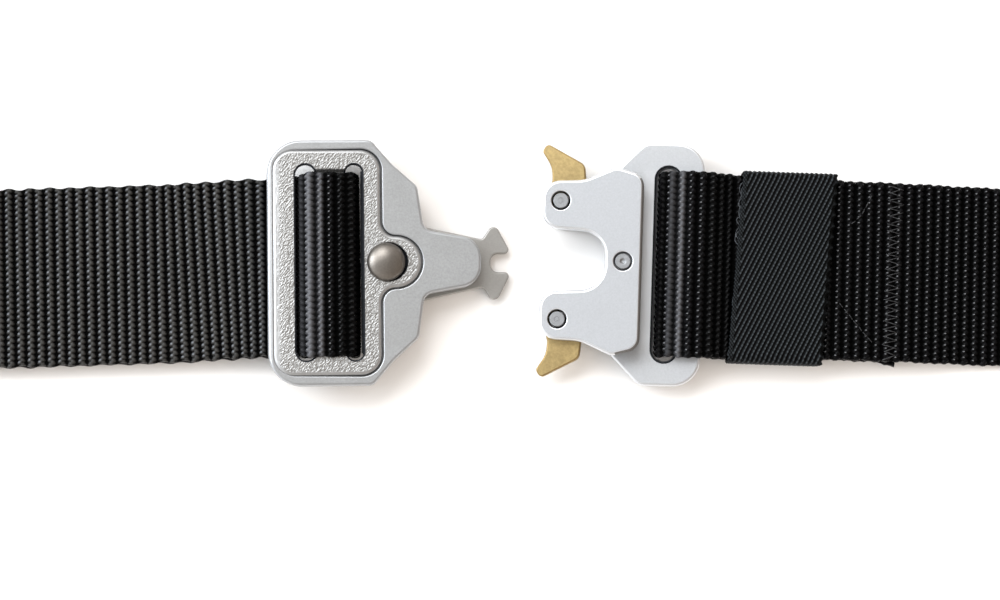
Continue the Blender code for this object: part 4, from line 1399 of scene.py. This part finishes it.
# =================================================================== stitching
def build_stitches():
    """Thread of the box seam on the right stretch, laid on the top layer."""
    part = (LINE_S > 55) & (LINE_S < 175)
    xs, zs = LINE_C[part, 0], LINE_C[part, 2]
    turn = np.argmin(xs)
    xs, zs = xs[turn:], zs[turn:]

    def top(x):
        return float(np.interp(x, xs, zs)) + WEB_T / 2

    def on_belt(px, py):
        """A point on the strap from its place in the picture's frame."""
        return (px - 500) / 4.75, -(py - 262) / 4.75 - 0.3

    runs = []
    # zigzag across the strap near the end of the return
    r = np.random.default_rng(11)
    n = 46
    for k in range(n):
        y0 = 18.2 - k * 36.6 / n
        y1 = 18.2 - (k + 1) * 36.6 / n
        x0, x1 = (81.2, 84.0) if k % 2 == 0 else (84.0, 81.2)
        j = r.uniform(-0.34, 0.34, 4)
        yc = front_line(83)[0]
        lean = -0.055 * (y0 - 0)
        runs.append(((x0 + j[0] - lean, yc + y0 + j[1] * 0.4), (x1 + j[2] - lean, yc + y1 + j[3] * 0.4)))
    # two diagonals of the box
    for pts in ([(872, 194), (860, 217), (849.5, 224)],
                [(837.6, 302.5), (849.5, 316.6), (858, 327.5), (871, 342.7)]):
        mm = np.array([on_belt(*p) for p in pts])
        seg = np.linalg.norm(np.diff(mm, axis=0), axis=1)
        cum = np.concatenate([[0], np.cumsum(seg)])
        m = max(2, int(cum[-1] / 1.5))
        for k in range(m):
            a, b = (k + 0.08) / m * cum[-1], (k + 0.88) / m * cum[-1]
            runs.append(tuple((float(np.interp(t, cum, mm[:, 0])) + r.uniform(-0.1, 0.1),
                               float(np.interp(t, cum, mm[:, 1])) + r.uniform(-0.1, 0.1))
                              for t in (a, b)))
    verts, faces = [], []
    sides, rows, rad = 6, 7, 0.11
    for (x0, y0), (x1, y1) in runs:
        d = np.array([x1 - x0, y1 - y0])
        L = np.linalg.norm(d)
        d /= L
        p = np.array([-d[1], d[0]])
        base = len(verts)
        for i in range(rows):
            t = i / (rows - 1)
            bow = 0.16 * math.sin(math.pi * t) - 0.10
            rr = rad * (0.55 + 0.45 * math.sin(math.pi * min(1, max(0, t * 0.9 + 0.05))))
            cx, cy = x0 + d[0] * L * t, y0 + d[1] * L * t
            cz = top(cx) + bow
            for k in range(sides):
                a = 2 * math.pi * k / sides
                verts.append((cx + p[0] * rr * math.cos(a), cy + p[1] * rr * math.cos(a),
                              cz + rr * math.sin(a)))
        for i in range(rows - 1):
            for k in range(sides):
                j = (k + 1) % sides
                faces.append((base + i * sides + k, base + i * sides + j,
                              base + (i + 1) * sides + j, base + (i + 1) * sides + k))
        faces.append(tuple(base + k for k in range(sides))[::-1])
        faces.append(tuple(base + (rows - 1) * sides + k for k in range(sides)))
    me = bpy.data.meshes.new("seam_stitches")
    me.from_pydata([tuple(v) for v in belt_place(np.array(verts))], [], faces)
    me.validate()
    me.update()
    me.polygons.foreach_set("use_smooth", np.ones(len(me.polygons), bool))
    obj = bpy.data.objects.new("seam_stitches", me)
    bpy.context.scene.collection.objects.link(obj)
    me.materials.append(M_THREAD)
    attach(obj, "belt")
    return obj


# ============================================================== stage and light
def build_stage():
    me = bpy.data.meshes.new("floor")
    h = 3.0
    me.from_pydata([(-h, -h, -0.0002), (h, -h, -0.0002), (h, h, -0.0002), (-h, h, -0.0002)], [], [(0, 1, 2, 3)])
    floor = bpy.data.objects.new("floor", me)
    bpy.context.scene.collection.objects.link(floor)
    mat, nt, bsdf = nodes_of("floor_white")
    bsdf.inputs["Base Color"].default_value = (0.93, 0.925, 0.92, 1)
    bsdf.inputs["Roughness"].default_value = 0.9
    bsdf.inputs["Specular IOR Level"].default_value = 0.1
    me.materials.append(mat)

    # a pale room, cooler and brighter towards the window at the upper left
    world = bpy.data.worlds.new("soft_room")
    bpy.context.scene.world = world
    world.use_nodes = True
    nt = world.node_tree
    bg = nt.nodes["Background"]
    tc = nt.nodes.new("ShaderNodeTexCoord")
    sep = nt.nodes.new("ShaderNodeSeparateXYZ")
    nt.links.new(tc.outputs["Generated"], sep.inputs[0])
    high = ramp(nt, sep.outputs["Z"], [(0.0, grey(1.0)), (0.60, grey(0.92)), (0.86, grey(0.62)),
                                       (1.0, grey(0.54))])
    dot = nt.nodes.new("ShaderNodeVectorMath")
    dot.operation = "DOT_PRODUCT"
    dot.inputs[1].default_value = (-0.46, 0.19, 0.0)
    nt.links.new(tc.outputs["Generated"], dot.inputs[0])
    shift = nt.nodes.new("ShaderNodeMath")
    shift.operation = "ADD"
    shift.inputs[1].default_value = 0.5
    nt.links.new(dot.outputs["Value"], shift.inputs[0])
    glow = ramp(nt, shift.outputs["Value"], [(0.0, (0.42, 0.355, 0.30)), (0.5, (0.88, 0.84, 0.80)),
                                             (1.0, (1.45, 1.49, 1.53))])
    both = nt.nodes.new("ShaderNodeMix")
    both.data_type, both.blend_type = "RGBA", "MULTIPLY"
    both.inputs[0].default_value = 1.0
    nt.links.new(high.outputs["Color"], both.inputs[6])
    nt.links.new(glow.outputs["Color"], both.inputs[7])
    nt.links.new(both.outputs[2], bg.inputs["Color"])
    bg.inputs["Strength"].default_value = 1.24

    def softbox(name, where, aim, size, power, color, glossy=True):
        data = bpy.data.lights.new(name, "AREA")
        data.shape = "RECTANGLE"
        data.size, data.size_y = size
        data.energy = power
        data.color = color
        lamp = bpy.data.objects.new(name, data)
        bpy.context.scene.collection.objects.link(lamp)
        lamp.location = where
        lamp.rotation_euler = (Vector(aim) - Vector(where)).to_track_quat("-Z", "Y").to_euler()
        lamp.visible_glossy = glossy
        return lamp
    softbox("key_window", (-0.30, 0.80, 1.20), (0, -0.07, 0), (0.8, 0.8), 11.0, (0.97, 0.985, 1.0))
    softbox("pane", (-0.95, 0.30, 0.95), (0, -0.07, 0), (0.60, 0.60), 6.0, (0.97, 0.985, 1.0))
    softbox("warm_lamp", (1.0, -0.35, 0.80), (0, -0.08, 0), (1.0, 0.70), 6.0, (1.0, 0.85, 0.72), False)
    softbox("low_window", (-1.15, 0.15, 0.66), (0, -0.08, 0), (0.75, 0.40), 7.0, (0.84, 0.92, 1.0))

    # camera straight above, leaning a little to the front
    elev, dist, px_per_mm = math.radians(86.0), 550.0, 4.74
    aim = np.array([0.0, -8.0, 3.0])
    look = np.array([0.0, math.cos(elev), -math.sin(elev)])
    eye = belt_place(aim - look * dist)
    data = bpy.data.cameras.new("camera")
    data.sensor_width = 36.0
    data.lens = 36.0 * px_per_mm * dist / 1000.0
    data.clip_start, data.clip_end = 0.01, 20.0
    cam = bpy.data.objects.new("camera", data)
    bpy.context.scene.collection.objects.link(cam)
    cam.location = eye
    cam.rotation_euler = Vector(look).to_track_quat("-Z", "Y").to_euler()
    bpy.context.scene.camera = cam
    bpy.context.scene.view_settings.view_transform = "Standard"


build_stage()
build_strap()
build_keeper()
build_frays()
build_male()
build_female()
build_stitches()
